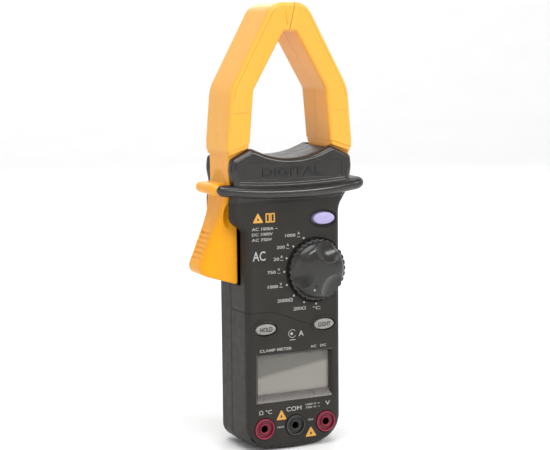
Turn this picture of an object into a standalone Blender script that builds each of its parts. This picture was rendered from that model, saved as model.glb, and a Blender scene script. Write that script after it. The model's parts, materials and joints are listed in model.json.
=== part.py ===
"""Clamp meter: a handheld meter with a sprung moving jaw, a rotary switch, push buttons and lead sockets.

All sizes below are in millimetres. X is to the right, Y runs from the panel to the flat back, which is y = 0,
and heights Z are counted from the lower end. The origin of the finished part is a point on the flat back.
"""

from math import atan2, cos, pi, radians, sin, tan

import bmesh
import bpy
from mathutils import Matrix, Vector

MM = 0.001
ORIGIN_HEIGHT = 100.0

# Case
FACE_Y = -40.5
SPLIT_Y = -18.0
GAP = 0.3
WALL = 2.2
BODY_HALF = 29.7
SHOULDER_HALF = 38.0
SHOULDER_PEAK = (25.0, 172.6)
SHOULDER_DIP = 6.1
COVER_BACK_Y = -35.5
REAR_COVER_Y = -8.5
ARM_CHANNEL_X = 22.6
LEVER_CHANNEL_Z, FIXED_CHANNEL_Z = 127.0, 154.2

# Hand guard
GUARD_HALF = 48.0
GUARD_FRONT_Y = -46.0
GUARD_THICK = 7.0
GUARD_MIDDLE = 147.0
GUARD_SAG = 3.0
GUARD_BULGE = 1.8
GUARD_ROOT = 34.8

# Jaws and lever
JAW_FRONT_Y = -38.0
JAW_REAR_Y = -5.0
SEAM_Y = -21.5
ARM_IN, ARM_OUT = 24.8, 38.7
TIP = 253.0
APEX = 236.8
PIVOT = (-28.0, 147.0)
PIN_R = 2.5
BUSH_R = 3.75
TRIGGER_FRONT_Y, TRIGGER_REAR_Y = -31.5, -10.5
JAW_RIM = 3.0
CORE_Y = (-29.8, -13.2)
SPRING_R = 5.6

# Rotary switch
KNOB = (13.7, 102.0)
KNOB_R = 17.8
WELL_R = 18.5
WELL_FLOOR_Y = -39.3
KNOB_TOP_Y = -48.5
RIM_TOP_Y = -43.3
SCOOP_R, SCOOP_AT = 14.6, 16.7
SHAFT_R = 3.6
TEETH = 32
POSITIONS = 16

# Buttons: centre x, z, half-width, half-height
BUTTONS = {
    "peak_button": (18.8, 131.2, 6.8, 3.5),
    "hold_button": (-18.4, 70.0, 6.7, 3.5),
    "light_button": (18.4, 70.0, 6.7, 3.5),
}
BUTTON_FRONT_Y = -41.8

# Display
WINDOW = (23.9, 27.3, 54.6)

# Sockets
JACK_X = 19.5
JACK_Z = 12.2
JACK_R = 6.0

# Board, battery and screws
BOARD_Y = (-32.5, -30.9)
BATTERY = (13.25, -20.3, -2.8, 25.0, 71.0)
DOOR = (16.2, 11.8, 78.2)
CASE_SCREWS = [(24.5, 140.5), (-6.0, 150.0), (24.0, 20.5), (-24.0, 20.5)]
BOARD_SCREWS = [(-22.5, 85.0), (-3.0, 130.0)]
DOOR_SCREW = (0.0, 17.0)
JAW_SCREW = (28.7, 151.0)


# Outlines and solids, all in millimetres

def fillet(corners, steps=4):
    """Closed outline through (u, v) or (u, v, radius) corners, the latter rounded by an arc."""
    points = []
    for i, corner in enumerate(corners):
        here = Vector(corner[:2])
        radius = corner[2] if len(corner) > 2 else 0
        if not radius:
            points.append(tuple(here))
            continue
        back = (Vector(corners[i - 1][:2]) - here).normalized()
        ahead = (Vector(corners[(i + 1) % len(corners)][:2]) - here).normalized()
        half = back.angle(ahead) / 2
        centre = here + (back + ahead).normalized() * (radius / sin(half))
        start = here + back * (radius / tan(half)) - centre
        turn = start.angle_signed(here + ahead * (radius / tan(half)) - centre)
        first = atan2(start.y, start.x)
        for k in range(steps + 1):
            angle = first - turn * k / steps
            points.append(tuple(centre + radius * Vector((cos(angle), sin(angle)))))
    return points


def area(outline):
    return sum(a[0] * b[1] - b[0] * a[1] for a, b in zip(outline, outline[1:] + outline[:1])) / 2


def inset(outline, distance):
    """The outline moved inwards, corner by corner."""
    outline = outline if area(outline) > 0 else outline[::-1]
    moved = []
    for i, point in enumerate(outline):
        here = Vector(point)
        before = (here - Vector(outline[i - 1])).normalized()
        after = (Vector(outline[(i + 1) % len(outline)]) - here).normalized()
        normals = Vector((-before.y, before.x)), Vector((-after.y, after.x))
        shift = (normals[0] + normals[1]) / (1 + normals[0].dot(normals[1]))
        moved.append(tuple(here + shift * distance))
    return moved


def ellipse(centre, half_width, half_height, steps=20, first=0.0):
    turns = [first + 2 * pi * k / steps for k in range(steps)]
    return [(centre[0] + half_width * cos(turn), centre[1] + half_height * sin(turn)) for turn in turns]


def circle(radius, centre=(0.0, 0.0), steps=16, first=0.0):
    return ellipse(centre, radius, radius, steps, first)


def rectangle(u0, u1, v0, v1):
    return [(u0, v0), (u1, v0), (u1, v1), (u0, v1)]


def rounded(u0, u1, v0, v1, radius, steps=3):
    return fillet([(*corner, radius) for corner in rectangle(u0, u1, v0, v1)], steps)


def on_axis(axis, u, v, along):
    """A point of an outline drawn in the plane across the axis: X-Z for Y, X-Y for Z and Y-Z for X."""
    return {"Y": (u, along, v), "Z": (u, v, along), "X": (along, u, v)}[axis]


def loft(layers, axis="Y"):
    """Solid through layers of (outline, height along the axis), with flat ends."""
    bm = bmesh.new()
    rings = [[bm.verts.new(on_axis(axis, u, v, along)) for u, v in outline] for outline, along in layers]
    count = len(rings[0])
    for low, high in zip(rings, rings[1:]):
        for k in range(count):
            bm.faces.new((low[k], low[(k + 1) % count], high[(k + 1) % count], high[k]))
    bm.faces.new(rings[0])
    bm.faces.new(rings[-1])
    bmesh.ops.recalc_face_normals(bm, faces=bm.faces)
    return bm


def prism(outline, low, high, axis="Y", round_low=0.0, round_high=0.0, steps=2):
    """The outline extruded along an axis, with rounded rims where a radius is given."""
    outline = outline if area(outline) > 0 else outline[::-1]
    layers = []
    for k in range(steps + 1 if round_low else 1):
        turn = pi / 2 * k / steps
        layers.append((inset(outline, round_low * (1 - sin(turn))), low + round_low * (1 - cos(turn))))
    for k in reversed(range(steps + 1 if round_high else 1)):
        turn = pi / 2 * k / steps
        layers.append((inset(outline, round_high * (1 - sin(turn))), high - round_high * (1 - cos(turn))))
    return loft(layers, axis)


def box(x0, x1, y0, y1, z0, z1):
    return prism(rectangle(x0, x1, z0, z1), y0, y1)


def rod(centre, radius, y0, y1, steps=12):
    """A round bar along Y."""
    return prism(circle(radius, centre, steps), y0, y1)


def turned(profile, centre, steps=24, ring=False):
    """Round piece about a line along Y, from (radius, y) points. A ring joins its last point to its first."""
    bm = bmesh.new()
    rings = []
    for radius, y in profile:
        if radius == 0:
            rings.append([bm.verts.new((centre[0], y, centre[1]))])
        else:
            rings.append([bm.verts.new((x, y, z)) for x, z in circle(radius, centre, steps)])
    pairs = list(zip(rings, rings[1:])) + ([(rings[-1], rings[0])] if ring else [])
    for one, two in pairs:
        for k in range(steps):
            corners = [one[k % len(one)], one[(k + 1) % steps % len(one)],
                       two[(k + 1) % steps % len(two)], two[k % len(two)]]
            corners = [v for n, v in enumerate(corners) if v is not corners[n - 1]]
            if len(corners) > 2:
                bm.faces.new(corners)
    if not ring:
        for end in (rings[0], rings[-1]):
            if len(end) > 1:
                bm.faces.new(end)
    bmesh.ops.recalc_face_normals(bm, faces=bm.faces)
    return bm


def tube(points, radius, sides=6):
    """A round wire along a list of points, with flat ends."""
    bm = bmesh.new()
    points = [Vector(p) for p in points]
    side = None
    rings = []
    for i, here in enumerate(points):
        way = (points[min(i + 1, len(points) - 1)] - points[max(i - 1, 0)]).normalized()
        if side is None:
            side = way.orthogonal().normalized()
        side = (side - way * side.dot(way)).normalized()
        up = way.cross(side)
        rings.append([bm.verts.new(here + side * u + up * v) for u, v in circle(radius, steps=sides)])
    for one, two in zip(rings, rings[1:]):
        for k in range(sides):
            bm.faces.new((one[k], one[(k + 1) % sides], two[(k + 1) % sides], two[k]))
    bm.faces.new(rings[0])
    bm.faces.new(rings[-1])
    bmesh.ops.recalc_face_normals(bm, faces=bm.faces)
    return bm


def curve(start, bend, end, steps=6):
    """Points from start to end on an arc that the bend point pulls out."""
    shares = [k / steps for k in range(steps + 1)]
    return [Vector(start).lerp(bend, t).lerp(bend.lerp(Vector(end), t), t) for t in shares]


def ball(centre, radius, steps=12):
    bm = bmesh.new()
    bmesh.ops.create_uvsphere(bm, u_segments=steps, v_segments=steps // 2 + 2, radius=radius,
                              matrix=Matrix.Translation(centre))
    return bm


def together(solids):
    """Several solids that don't touch, as one mesh for a Boolean."""
    whole = bmesh.new()
    for solid in solids:
        copy = bpy.data.meshes.new("copy")
        solid.to_mesh(copy)
        whole.from_mesh(copy)
        bpy.data.meshes.remove(copy)
        solid.free()
    return whole


# Objects

def empty(name, place=(0, 0, 0), parent=None):
    obj = bpy.data.objects.new(name, None)
    bpy.context.scene.collection.objects.link(obj)
    obj.location = [value * MM for value in place]
    obj.parent = parent
    return obj


def put(name, solid, material=None, hub=None):
    """An object from a solid, with its origin at its hub: for a moving piece a point of the joint's axis."""
    hub = hub or METER
    place = Vector((0, 0, 0)) if hub is METER else hub.location / MM
    bmesh.ops.translate(solid, verts=solid.verts, vec=-place)
    bmesh.ops.scale(solid, verts=solid.verts, vec=(MM, MM, MM))
    mesh = bpy.data.meshes.new(name)
    solid.to_mesh(mesh)
    solid.free()
    mesh.shade_smooth()
    mesh.set_sharp_from_angle(angle=radians(35))
    obj = bpy.data.objects.new(name, mesh)
    bpy.context.scene.collection.objects.link(obj)
    obj.parent = hub
    if material:
        mesh.materials.append(material)
    return obj


def combine(target, name, solids, operation):
    tool = put(name, together(solids), hub=target.parent)
    tool.hide_render = True
    tool.display_type = "WIRE"
    modifier = target.modifiers.new(name, "BOOLEAN")
    modifier.operation = operation
    modifier.object = tool
    return target


def cut(target, name, *solids):
    return combine(target, f"cut_{target.name}_{name}", solids, "DIFFERENCE")


def join(target, name, *solids):
    return combine(target, f"add_{target.name}_{name}", solids, "UNION")


def paint(name, colour, roughness=0.5, metallic=0.0, alpha=1.0):
    material = bpy.data.materials.new(name)
    material.use_nodes = True
    shader = material.node_tree.nodes["Principled BSDF"]
    shader.inputs["Base Color"].default_value = (*colour, 1)
    shader.inputs["Roughness"].default_value = roughness
    shader.inputs["Metallic"].default_value = metallic
    shader.inputs["Alpha"].default_value = alpha
    return material


# Case

def case_outline():
    """The case from the front: rounded lower end, straight sides, and a shoulder with a dip between peaks."""
    peak_x, peak_z = SHOULDER_PEAK
    stations = (17.5, 10.5, 3.5, -3.5, -10.5, -17.5)
    dip = [(x, peak_z - SHOULDER_DIP * (1 - (x / peak_x) ** 2)) for x in stations]
    return fillet([
        (0, -1.5, 60), (BODY_HALF, 1.4, 9),
        (BODY_HALF, 137.5, 12), (36.2, 147.5, 9), (SHOULDER_HALF, 160, 12), (37.2, 166.6, 3),
        (peak_x, peak_z, 4),
        *dip,
        (-peak_x, peak_z, 4), (-37.2, 166.6, 3), (-SHOULDER_HALF, 160, 12), (-SHOULDER_HALF, 141.5, 7),
        (-BODY_HALF, 126.5, 6), (-BODY_HALF, 1.4, 9),
    ])


def guard(path):
    """A stretch of the hand guard along outer edge points (x, y), rounded outside, rooted in the case."""
    half = GUARD_THICK / 2
    bm = bmesh.new()
    rings = []
    for i, (x, y) in enumerate(path):
        ahead, behind = path[min(i + 1, len(path) - 1)], path[max(i - 1, 0)]
        way = Vector((ahead[0] - behind[0], ahead[1] - behind[1])).normalized()
        out = Vector((way.y, -way.x))
        inner = (x * GUARD_ROOT / GUARD_HALF, max(y, FACE_Y + 2.0))
        middle = GUARD_MIDDLE + GUARD_SAG * (x / GUARD_HALF) ** 2
        profile = [(*inner, middle - half)]
        for k in range(5):
            turn = -pi / 2 + pi * k / 4
            place = Vector((x, y)) + out * (GUARD_BULGE * (cos(turn) - 1))
            profile.append((*place, middle + half * sin(turn)))
        profile.append((*inner, middle + half))
        rings.append([bm.verts.new(point) for point in profile])
    count = len(rings[0])
    for one, two in zip(rings, rings[1:]):
        for k in range(count):
            bm.faces.new((one[k], one[(k + 1) % count], two[(k + 1) % count], two[k]))
    bm.faces.new(rings[0])
    bm.faces.new(rings[-1])
    bmesh.ops.triangulate(bm, faces=bm.faces)
    bmesh.ops.recalc_face_normals(bm, faces=bm.faces)
    return bm


def guard_front_path():
    """From the left end, across the bowed front, round the right corner and back to the parting line."""
    bow = [(x, GUARD_FRONT_Y + 5.5 * (x / 40.0) ** 2) for x in range(-40, 41, 10)]
    corner = [(40.0 + 8.0 * sin(turn), -32.5 - 8.0 * cos(turn)) for turn in (pi / 6, pi / 3, pi / 2)]
    left = [(-x, y) for x, y in corner[:2]][::-1]
    return left + bow + corner + [(GUARD_HALF, SPLIT_Y - GAP / 2)]


def arm_channels(y0, y1):
    """Room for the two arms behind the shoulder; the left one opens the side wall for the lever as well."""
    left = box(-70, -ARM_CHANNEL_X, y0, y1, LEVER_CHANNEL_Z, 200)
    return [left, box(ARM_CHANNEL_X, 70, y0, y1, FIXED_CHANNEL_Z, 200)]


def trigger_slot():
    return box(-40, -26, TRIGGER_FRONT_Y - 0.6, TRIGGER_REAR_Y + 0.6, 94.5, 131)


def front_case():
    outline = case_outline()
    case = put("front_case", prism(outline, FACE_Y, SPLIT_Y - GAP / 2, round_low=4.0), SHELL)
    cut(case, "cavity", prism(inset(outline, WALL), FACE_Y + WALL, 0))
    posts = [rod(place, 3.2, FACE_Y + 1.2, -12.4) for place in CASE_SCREWS]
    posts += [rod(place, 2.6, FACE_Y + 1.2, BOARD_Y[0] - GAP, 12) for place in BOARD_SCREWS]
    join(case, "posts", *posts, rod(PIVOT, 5.2, FACE_Y + 1.2, COVER_BACK_Y - 0.1, 20))
    join(case, "guard", guard(guard_front_path()))
    cut(case, "channels", *arm_channels(COVER_BACK_Y, 10))
    cut(case, "trigger_slot", trigger_slot())
    holes = [rod(place, 1.45, -27, 0, 10) for place in CASE_SCREWS]
    holes += [rod(place, 1.2, BOARD_Y[0] - 4.5, 0, 8) for place in BOARD_SCREWS]
    cut(case, "screw_holes", *holes, rod(PIVOT, PIN_R + GAP, -37.9, 0))
    cut(case, "knob_well", rod(KNOB, WELL_R, -60, WELL_FLOOR_Y, 40))
    half, low, high = WINDOW
    openings = [prism(rounded(-half, half, low, high, 0.8, 2), -60, -37)]
    openings += [prism(ellipse((x, z), w + 0.4, h + 0.4), -60, -37) for x, z, w, h in BUTTONS.values()]
    openings += [rod((x, JACK_Z), JACK_R + GAP, -60, -37, 24) for x in (-JACK_X, 0, JACK_X)]
    openings += [rod(KNOB, SHAFT_R + 0.4, -60, -37)]
    cut(case, "openings", *openings)
    return case


def rear_case():
    outline = case_outline()
    case = put("rear_case", prism(outline, SPLIT_Y + GAP / 2, 0, round_high=6.0), SHELL)
    cut(case, "cavity", prism(inset(outline, WALL), -60, -WALL))
    posts = [rod(place, 4.4, -12.0, -1.2) for place in CASE_SCREWS]
    ribs = [box(side * 14.6 - 0.6, side * 14.6 + 0.6, -13, -1.2, 23, 76) for side in (-1, 1)]
    posts += [rod(DOOR_SCREW, 3.0, -11, -1.2), rod(PIVOT, 5.2, REAR_COVER_Y + 0.1, -1.2, 20)]
    join(case, "posts", *posts, *ribs)
    guard_path = [(GUARD_HALF, SPLIT_Y + GAP / 2), (GUARD_HALF, -12), (46.8, -8.5), (44.5, -6.5)]
    join(case, "guard", guard(guard_path))
    cut(case, "channels", *arm_channels(-60, REAR_COVER_Y))
    cut(case, "trigger_slot", trigger_slot())
    holes = [rod(place, 1.5, -30, 5, 10) for place in CASE_SCREWS]
    cut(case, "screw_holes", *holes, rod(PIVOT, PIN_R + GAP, -20, -3.0), rod(JAW_SCREW, 1.6, -20, 5, 10))
    cut(case, "screw_heads", *[rod(place, 3.2, -9.5, 5) for place in CASE_SCREWS])
    cut(case, "jaw_screw_head", rod(JAW_SCREW, 3.2, -3.0, 5))
    half, low, high = DOOR
    cut(case, "door_ledge", box(-half - GAP, half + GAP, -1.3, 5, low - GAP, high + GAP))
    cut(case, "battery_hatch", box(-14.0, 14.0, -4, 5, 23.0, high - 2), rod(DOOR_SCREW, 1.2, -9, 5, 10))
    return case


def screw(name, place, y_head, y_tip, head_r, shank_r, head_high, hub=None):
    """A pan head screw driven from behind, its head at y_head and its tip towards the panel."""
    top = y_head + head_high
    profile = [(0, y_tip), (shank_r * 0.5, y_tip), (shank_r, y_tip + shank_r), (shank_r, y_head),
               (head_r, y_head), (head_r, y_head + head_high * 0.55), (head_r * 0.7, top), (0, top)]
    piece = put(name, turned(profile, place, 12), STEEL, hub)
    x, z = place
    for label, half_x, half_z in (("slot", head_r * 0.55, 0.25), ("cross", 0.25, head_r * 0.55)):
        cut(piece, label, box(x - half_x, x + half_x, top - 0.6, top + 1, z - half_z, z + half_z))
    return piece


# Jaws

def jaw_outline(side, seam_top, seam_low, low_in, low_out, grow=0.0):
    """One jaw from the front, for side +1 or -1, its two seam points and the heights where its arm ends."""
    half = fillet([
        (seam_low, APEX + grow), (3.8 + grow, APEX + grow, 0.5), (22.4 + grow, 204.5 + grow / 2, 6),
        (ARM_IN + grow, low_in), (ARM_OUT - 1.2 * grow, low_out),
        (36.4 - grow, 205.2 - grow / 2, 14), (10.4 - grow / 2, TIP - grow, 7), (seam_top, TIP - grow),
    ])
    return [(side * x, z) for x, z in half]


def seam(side, clearance, top=TIP, low=APEX):
    """Where the slanting line between the jaws is at two heights, counted from the middle on that side."""
    return [side * (3.2 - 0.24 * (TIP - z)) + clearance for z in (top, low)]


def jaw_pocket(side):
    """The hollow for the core and its winding."""
    top, low = seam(side, 1.9)
    return jaw_outline(side, top, low, 161, 161, grow=1.8)


def core(name, side, hub=None):
    """A laminated steel core that fills its arm and shows its end face at the seam."""
    top, low = seam(side, 0.35, 246.4, 241.3)
    outline = fillet([
        (low, 241.3), (4.9, 241.3, 0.5), (26.3, 205.8, 4), (28.3, 180), (28.3, 162), (33.9, 162),
        (33.9, 202.4, 14), (9.9, 246.4, 1.5), (top, 246.4),
    ])
    return put(name, prism([(side * x, z) for x, z in outline], *CORE_Y), CORE, hub)


def coil(name, side, hub=None):
    """The winding, a sleeve round the straight part of the core."""
    piece = put(name, box(*sorted((side * 27.0, side * 35.3)), -32.2, -10.8, 163.5, 183), COPPER, hub)
    return cut(piece, "core_hole", box(*sorted((side * 27.75, side * 34.2)), -30.1, -12.9, 150, 200))


def seam_window():
    """Where the end faces of the cores look out at the seam."""
    return box(-7, 7, -30.1, -12.9, 241.0, 246.7)


def lever_outline():
    """Behind the covers: arm, guard bump, neck and hub of the moving lever."""
    return fillet([
        (-25.0, 182), (-38.0, 182), (-38.0, 153.5, 1.0), (-GUARD_HALF, 153.5, 2.8),
        (-GUARD_HALF, 146.5, 2.8), (-40.0, 146.3, 0.8), (-40.3, 139.5), (-41.8, 132), (-30.0, 131),
        (-24.0, 133.5, 4), (-18.0, 141, 5), (-18.0, 151, 5), (-25.0, 159, 4),
    ])


def trigger_outline():
    return fillet([
        (-31.0, 136), (-40.9, 136), (-43.4, 127), (-53.2, 106.8, 3), (-50.8, 102.0, 2), (-31.0, 95.9, 2),
    ])


def shell_half(name, front, solids, hub, side):
    """One half of a jaw moulding: united solids cut at the seam plane, less the pocket for the core."""
    piece = put(name, solids[0], JAW, hub)
    for number, solid in enumerate(solids[1:]):
        join(piece, f"part_{number}", solid)
    beyond = (SEAM_Y - GAP / 2, 20) if front else (-80, SEAM_Y + GAP / 2)
    cut(piece, "half", box(-80, 80, *beyond, 60, 300))
    cut(piece, "pocket", prism(jaw_pocket(side), -33.2, -9.8))
    return cut(piece, "seam_window", seam_window())


def moving_jaw(hub):
    top, low = seam(-1, 0.2)
    for name, front in (("moving_jaw_front_shell", True), ("moving_jaw_rear_shell", False)):
        jaw = prism(jaw_outline(-1, top, low, 177.2, 172.3), JAW_FRONT_Y, JAW_REAR_Y,
                    round_low=JAW_RIM, round_high=JAW_RIM)
        lever = prism(lever_outline(), COVER_BACK_Y + GAP, REAR_COVER_Y - GAP,
                      round_low=1.0, round_high=1.0, steps=1)
        trigger = prism(trigger_outline(), TRIGGER_FRONT_Y, TRIGGER_REAR_Y, round_low=1.9, round_high=1.9)
        piece = shell_half(name, front, [jaw, lever, trigger], hub, -1)
        if front:
            slope = [(-60, 100), (TRIGGER_FRONT_Y, 100), (TRIGGER_FRONT_Y, 131),
                     (COVER_BACK_Y + GAP, 142), (-60, 142)]
            cut(piece, "scoop", prism(slope, -60, -24.5, axis="X"))
        else:
            cut(piece, "spring_recess", rod(PIVOT, SPRING_R + 2.3, -15.5, 0, 24))
        hollow = fillet([(-33.2, 127), (-41.0, 127), (-50.2, 108.4, 2), (-48.8, 104.8, 1), (-33.2, 99.4, 1)])
        cut(piece, "trigger_hollow", prism(hollow, TRIGGER_FRONT_Y + WALL, TRIGGER_REAR_Y - WALL))
        cut(piece, "bore", rod(PIVOT, BUSH_R + GAP, -60, 10, 20))


def fixed_jaw():
    top, low = seam(1, 0.2)
    root = fillet([(25.0, 182), (38.0, 182), (38.0, 154.5), (32.4, 154.5),
                   (32.4, 146.2, 2), (25.0, 146.2, 2)])
    for name, front in (("fixed_jaw_front_shell", True), ("fixed_jaw_rear_shell", False)):
        jaw = prism(jaw_outline(1, top, low, 177.2, 172.3), JAW_FRONT_Y, JAW_REAR_Y,
                    round_low=JAW_RIM, round_high=JAW_RIM)
        arm = prism(root, COVER_BACK_Y + GAP, REAR_COVER_Y - GAP)
        piece = shell_half(name, front, [jaw, arm], METER, 1)
        cut(piece, "screw_hole", rod(JAW_SCREW, 1.4, -32, 5, 10))


def pivot(hub):
    pin = [(0, -37.6), (PIN_R - 0.4, -37.6), (PIN_R, -37.2), (PIN_R, -3.7), (PIN_R - 0.4, -3.3), (0, -3.3)]
    put("pivot_pin", turned(pin, PIVOT, 20), STEEL)
    bore = PIN_R + 0.25
    bush = [(bore, -35.0), (BUSH_R, -35.0), (BUSH_R, -9.0), (bore, -9.0)]
    put("pivot_bush", turned(bush, PIVOT, 20, ring=True), BRASS, hub)


def torsion_spring(hub):
    """Three turns round the pivot, one end tucked against the lever and the other towards the rear cover."""
    turns, steps = 3, 12
    points = []
    for k in range(turns * steps + 1):
        x, z = circle(SPRING_R, PIVOT, steps)[k % steps]
        points.append((x, -13.9 + 3.6 * k / (turns * steps), z))
    x, y, z = points[-1]
    points += [(x + 0.3, y + 0.5, z + 0.9), (x + 0.4, y + 1.3, z + 1.3)]
    put("torsion_spring", tube(points, 0.5, 5), STEEL, hub)


# Rotary switch

def star(outer, inner, points):
    """Outline about the knob's axis that goes out and in again the given number of times."""
    rings = circle(outer, KNOB, 2 * points), circle(inner, KNOB, 2 * points)
    return [rings[k % 2][k] for k in range(2 * points)]


def rotary_knob(hub):
    rim = star(KNOB_R, KNOB_R - 0.5, TEETH)
    knob = put("rotary_knob", prism(rim, WELL_FLOOR_Y - GAP, RIM_TOP_Y), KNOB_BLACK, hub)
    dome = [(0, KNOB_TOP_Y), (6.5, KNOB_TOP_Y), (12, KNOB_TOP_Y + 0.8), (15.2, -45.6), (16.6, -43.6),
            (16.6, -41), (0, -41)]
    join(knob, "dome", turned(dome, KNOB, 32))
    scoops = []
    for x, z in circle(SCOOP_AT, KNOB, 3, radians(67.5)):
        scoops.append(ball((x, RIM_TOP_Y - SCOOP_R, z), SCOOP_R, 24))
    for number, scoop in enumerate(scoops):
        cut(knob, f"scoop_{number}", scoop)
    join(knob, "shaft", rod(KNOB, SHAFT_R, -42, -34.8))
    return cut(knob, "screw_hole", rod(KNOB, 1.3, -43, -30, 10))


def switch_rotor(hub):
    rotor = put("switch_rotor", rod(KNOB, 10.6, -38.0, -34.8, 32), NYLON, hub)
    cut(rotor, "shaft_hole", rod(KNOB, SHAFT_R + GAP, -50, -20))
    for side, label in ((-1, "left"), (1, "right")):
        middle = KNOB[0] + side * 9.5
        slot = box(middle - 3, middle + 3, -37.75, -35.05, KNOB[1] - 1.35, KNOB[1] + 1.35)
        cut(rotor, f"{label}_ball_slot", slot)
    profile = [(0, -41.5), (1.0, -41.5), (1.0, -34.5), (5.0, -34.5), (5.0, -33.6), (3.6, -33.1), (0, -33.1)]
    put("knob_screw", turned(profile, KNOB, 16), STEEL, hub)
    for number, (x, z) in enumerate(circle(8.0, KNOB, 3, pi / 2)):
        arch = [(x - 2.2, -34.5), (x + 2.2, -34.5), (x + 2.2, -34.2), (x + 0.6, -32.9), (x - 0.6, -32.9),
                (x - 2.2, -34.2)]
        put(f"contact_brush_{number + 1}", prism(arch, z - 0.7, z + 0.7, axis="Z"), BRASS, hub)
    for number, side in enumerate((-1, 1)):
        x = KNOB[0] + side * 9.95
        put(f"detent_ball_{number + 1}", ball((x, -36.4, KNOB[1]), 1.2, 10), STEEL, hub)
        start = KNOB[0] + side * 6.9
        turns, steps = 4, 8
        coils = [(start + side * 1.6 * k / (turns * steps), -36.4 + 0.8 * cos(2 * pi * k / steps),
                  KNOB[1] + 0.8 * sin(2 * pi * k / steps)) for k in range(turns * steps + 1)]
        put(f"detent_spring_{number + 1}", tube(coils, 0.14, 4), STEEL, hub)


def detent_ring():
    inner = star(12.1, 11.45, POSITIONS)
    ring = put("detent_ring", rod(KNOB, 13.4, -38.0, -35.0, 32), NYLON)
    return cut(ring, "notches", prism(inner, -50, -20))


# Buttons

def buttons():
    for name, (x, z, width, height) in BUTTONS.items():
        hub = empty(f"{name}_hub", (x, FACE_Y, z), METER)
        cap = prism(ellipse((x, z), width, height), BUTTON_FRONT_Y, -37.9, round_low=0.8)
        piece = put(name, cap, LAVENDER if name == "peak_button" else KEY_GREY, hub)
        join(piece, "flange", prism(ellipse((x, z), width + 1.1, height + 1.1), -38.0, -37.2))
        join(piece, "stem", rod((x, z), 1.5, -37.5, -36.9, 10))
        housing = box(x - 3, x + 3, -35.0, BOARD_Y[0] - GAP, z - 3, z + 3)
        switch = put(name.replace("button", "switch"), housing, CHIP)
        join(switch, "plunger", rod((x, z), 1.7, -35.7, -34.0, 12))


# Display

def display():
    half, low, high = WINDOW
    pane = rounded(-half - 1.4, half + 1.4, low - 1.4, high + 1.4, 1, 2)
    put("display_window", prism(pane, -38.0, -36.8), CLEAR)
    put("lcd_panel", box(-24.3, 24.3, -36.5, -35.2, 26.7, 55.3), LCD)
    put("backlight_panel", box(-24.3, 24.3, -34.9, -33.4, 26.7, 55.3), LIGHT_GUIDE)
    put("zebra_strip_lower", box(-23, 23, -36.3, -32.8, 25.1, 26.4), RUBBER)
    put("zebra_strip_upper", box(-23, 23, -36.3, -32.8, 55.6, 56.9), RUBBER)
    frame = put("lcd_frame", box(-26.4, 26.4, -36.5, -32.8, 24.1, 57.9), NYLON)
    cut(frame, "middle", box(-24.6, 24.6, -50, -20, 24.8, 57.2))


# Sockets

def jacks():
    for name, x in (("left", -JACK_X), ("common", 0.0), ("right", JACK_X)):
        cup = [(JACK_R - 0.6, -41.3), (JACK_R, -40.7), (JACK_R, -37.3), (4.4, -37.3), (4.4, -21.0),
               (2.7, -21.0), (2.7, -23.0), (3.3, -23.0), (3.3, -40.2), (2.7, -40.2), (2.7, -40.5),
               (4.6, -40.5), (4.6, -41.3)]
        colour = JACK_BLACK if name == "common" else JACK_RED
        put(f"{name}_jack_body", turned(cup, (x, JACK_Z), 16, ring=True), colour)
        sleeve = [(3.0, -40.0), (3.0, -23.3), (2.4, -23.3), (2.4, -17.0), (0, -17.0), (0, -22.5),
                  (2.1, -22.5), (2.1, -40.0)]
        put(f"{name}_jack_sleeve", turned(sleeve, (x, JACK_Z), 12, ring=True), BRASS)


# Board and what it carries

def main_board():
    outline = [(-26.6, 24), (26.6, 24), (26.6, 136), (-9, 136), (-9, 92.5), (-26.6, 92.5)]
    board = put("main_board", prism(outline, *BOARD_Y), BOARD)
    cut(board, "holes", *[rod(place, 1.4, -40, -20, 10) for place in BOARD_SCREWS])
    back = BOARD_Y[1] + GAP
    put("adc_chip", box(-9, 5, back, back + 2.2, 84, 98), CHIP)
    sounder = [(0, back), (6, back), (6, back + 5), (5.4, back + 5.6), (1, back + 5.6), (1, back + 4.6),
               (0, back + 4.6)]
    put("buzzer", turned(sounder, (14.0, 118.0), 20), CHIP)
    put("capacitor", prism(circle(3.0, (12.0, back + 3.0), 12), 100, 110, axis="Z"), CAN)
    for number, place in enumerate(BOARD_SCREWS):
        screw(f"board_screw_{number + 1}", place, back, BOARD_Y[0] - 4.2, 2.1, 0.9, 1.2)


def battery():
    half, y0, y1, low, high = BATTERY
    cell = put("battery", prism(rounded(-half, half, y0, y1, 2), low, high, axis="Z"), CELL)
    middle = (y0 + y1) / 2
    join(cell, "terminals", *[prism(circle(r, (side * 6.35, middle), 12), high - 1, high + 2.4, axis="Z")
                              for side, r in ((-1, 3.6), (1, 2.8))])
    plate = rounded(-half, half, middle - 6, middle + 6, 3)
    snap = put("battery_snap", prism(plate, high + 0.6, high + 4.6, axis="Z"), RUBBER)
    cut(snap, "cups", *[prism(circle(r, (side * 6.35, middle), 12), high - 2, high + 2.8, axis="Z")
                        for side, r in ((-1, 4.0), (1, 3.2))])
    for name, x in (("red", 4.0), ("black", -4.0)):
        bend = Vector((x, middle - 3, high + 9.0))
        route = curve((x, middle, high + 5.0), bend, (x - 2.0, BOARD_Y[1] + 1.2, 81.0))
        put(f"battery_lead_{name}", tube(route, 0.65), JACK_RED if name == "red" else RUBBER)


def battery_door(hub):
    half, low, high = DOOR
    door = put("battery_door", box(-half, half, -1.0, 0, low, high), SHELL, hub)
    join(door, "plug", box(-13.6, 13.6, -2.3, -0.5, 23.4, high - 2.4))
    cut(door, "screw_hole", rod(DOOR_SCREW, 1.5, -5, 5, 12))
    return cut(door, "grips", *[box(-9, 9, -0.45, 1, 68 + 2.4 * k, 69.2 + 2.4 * k) for k in range(4)])


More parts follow.
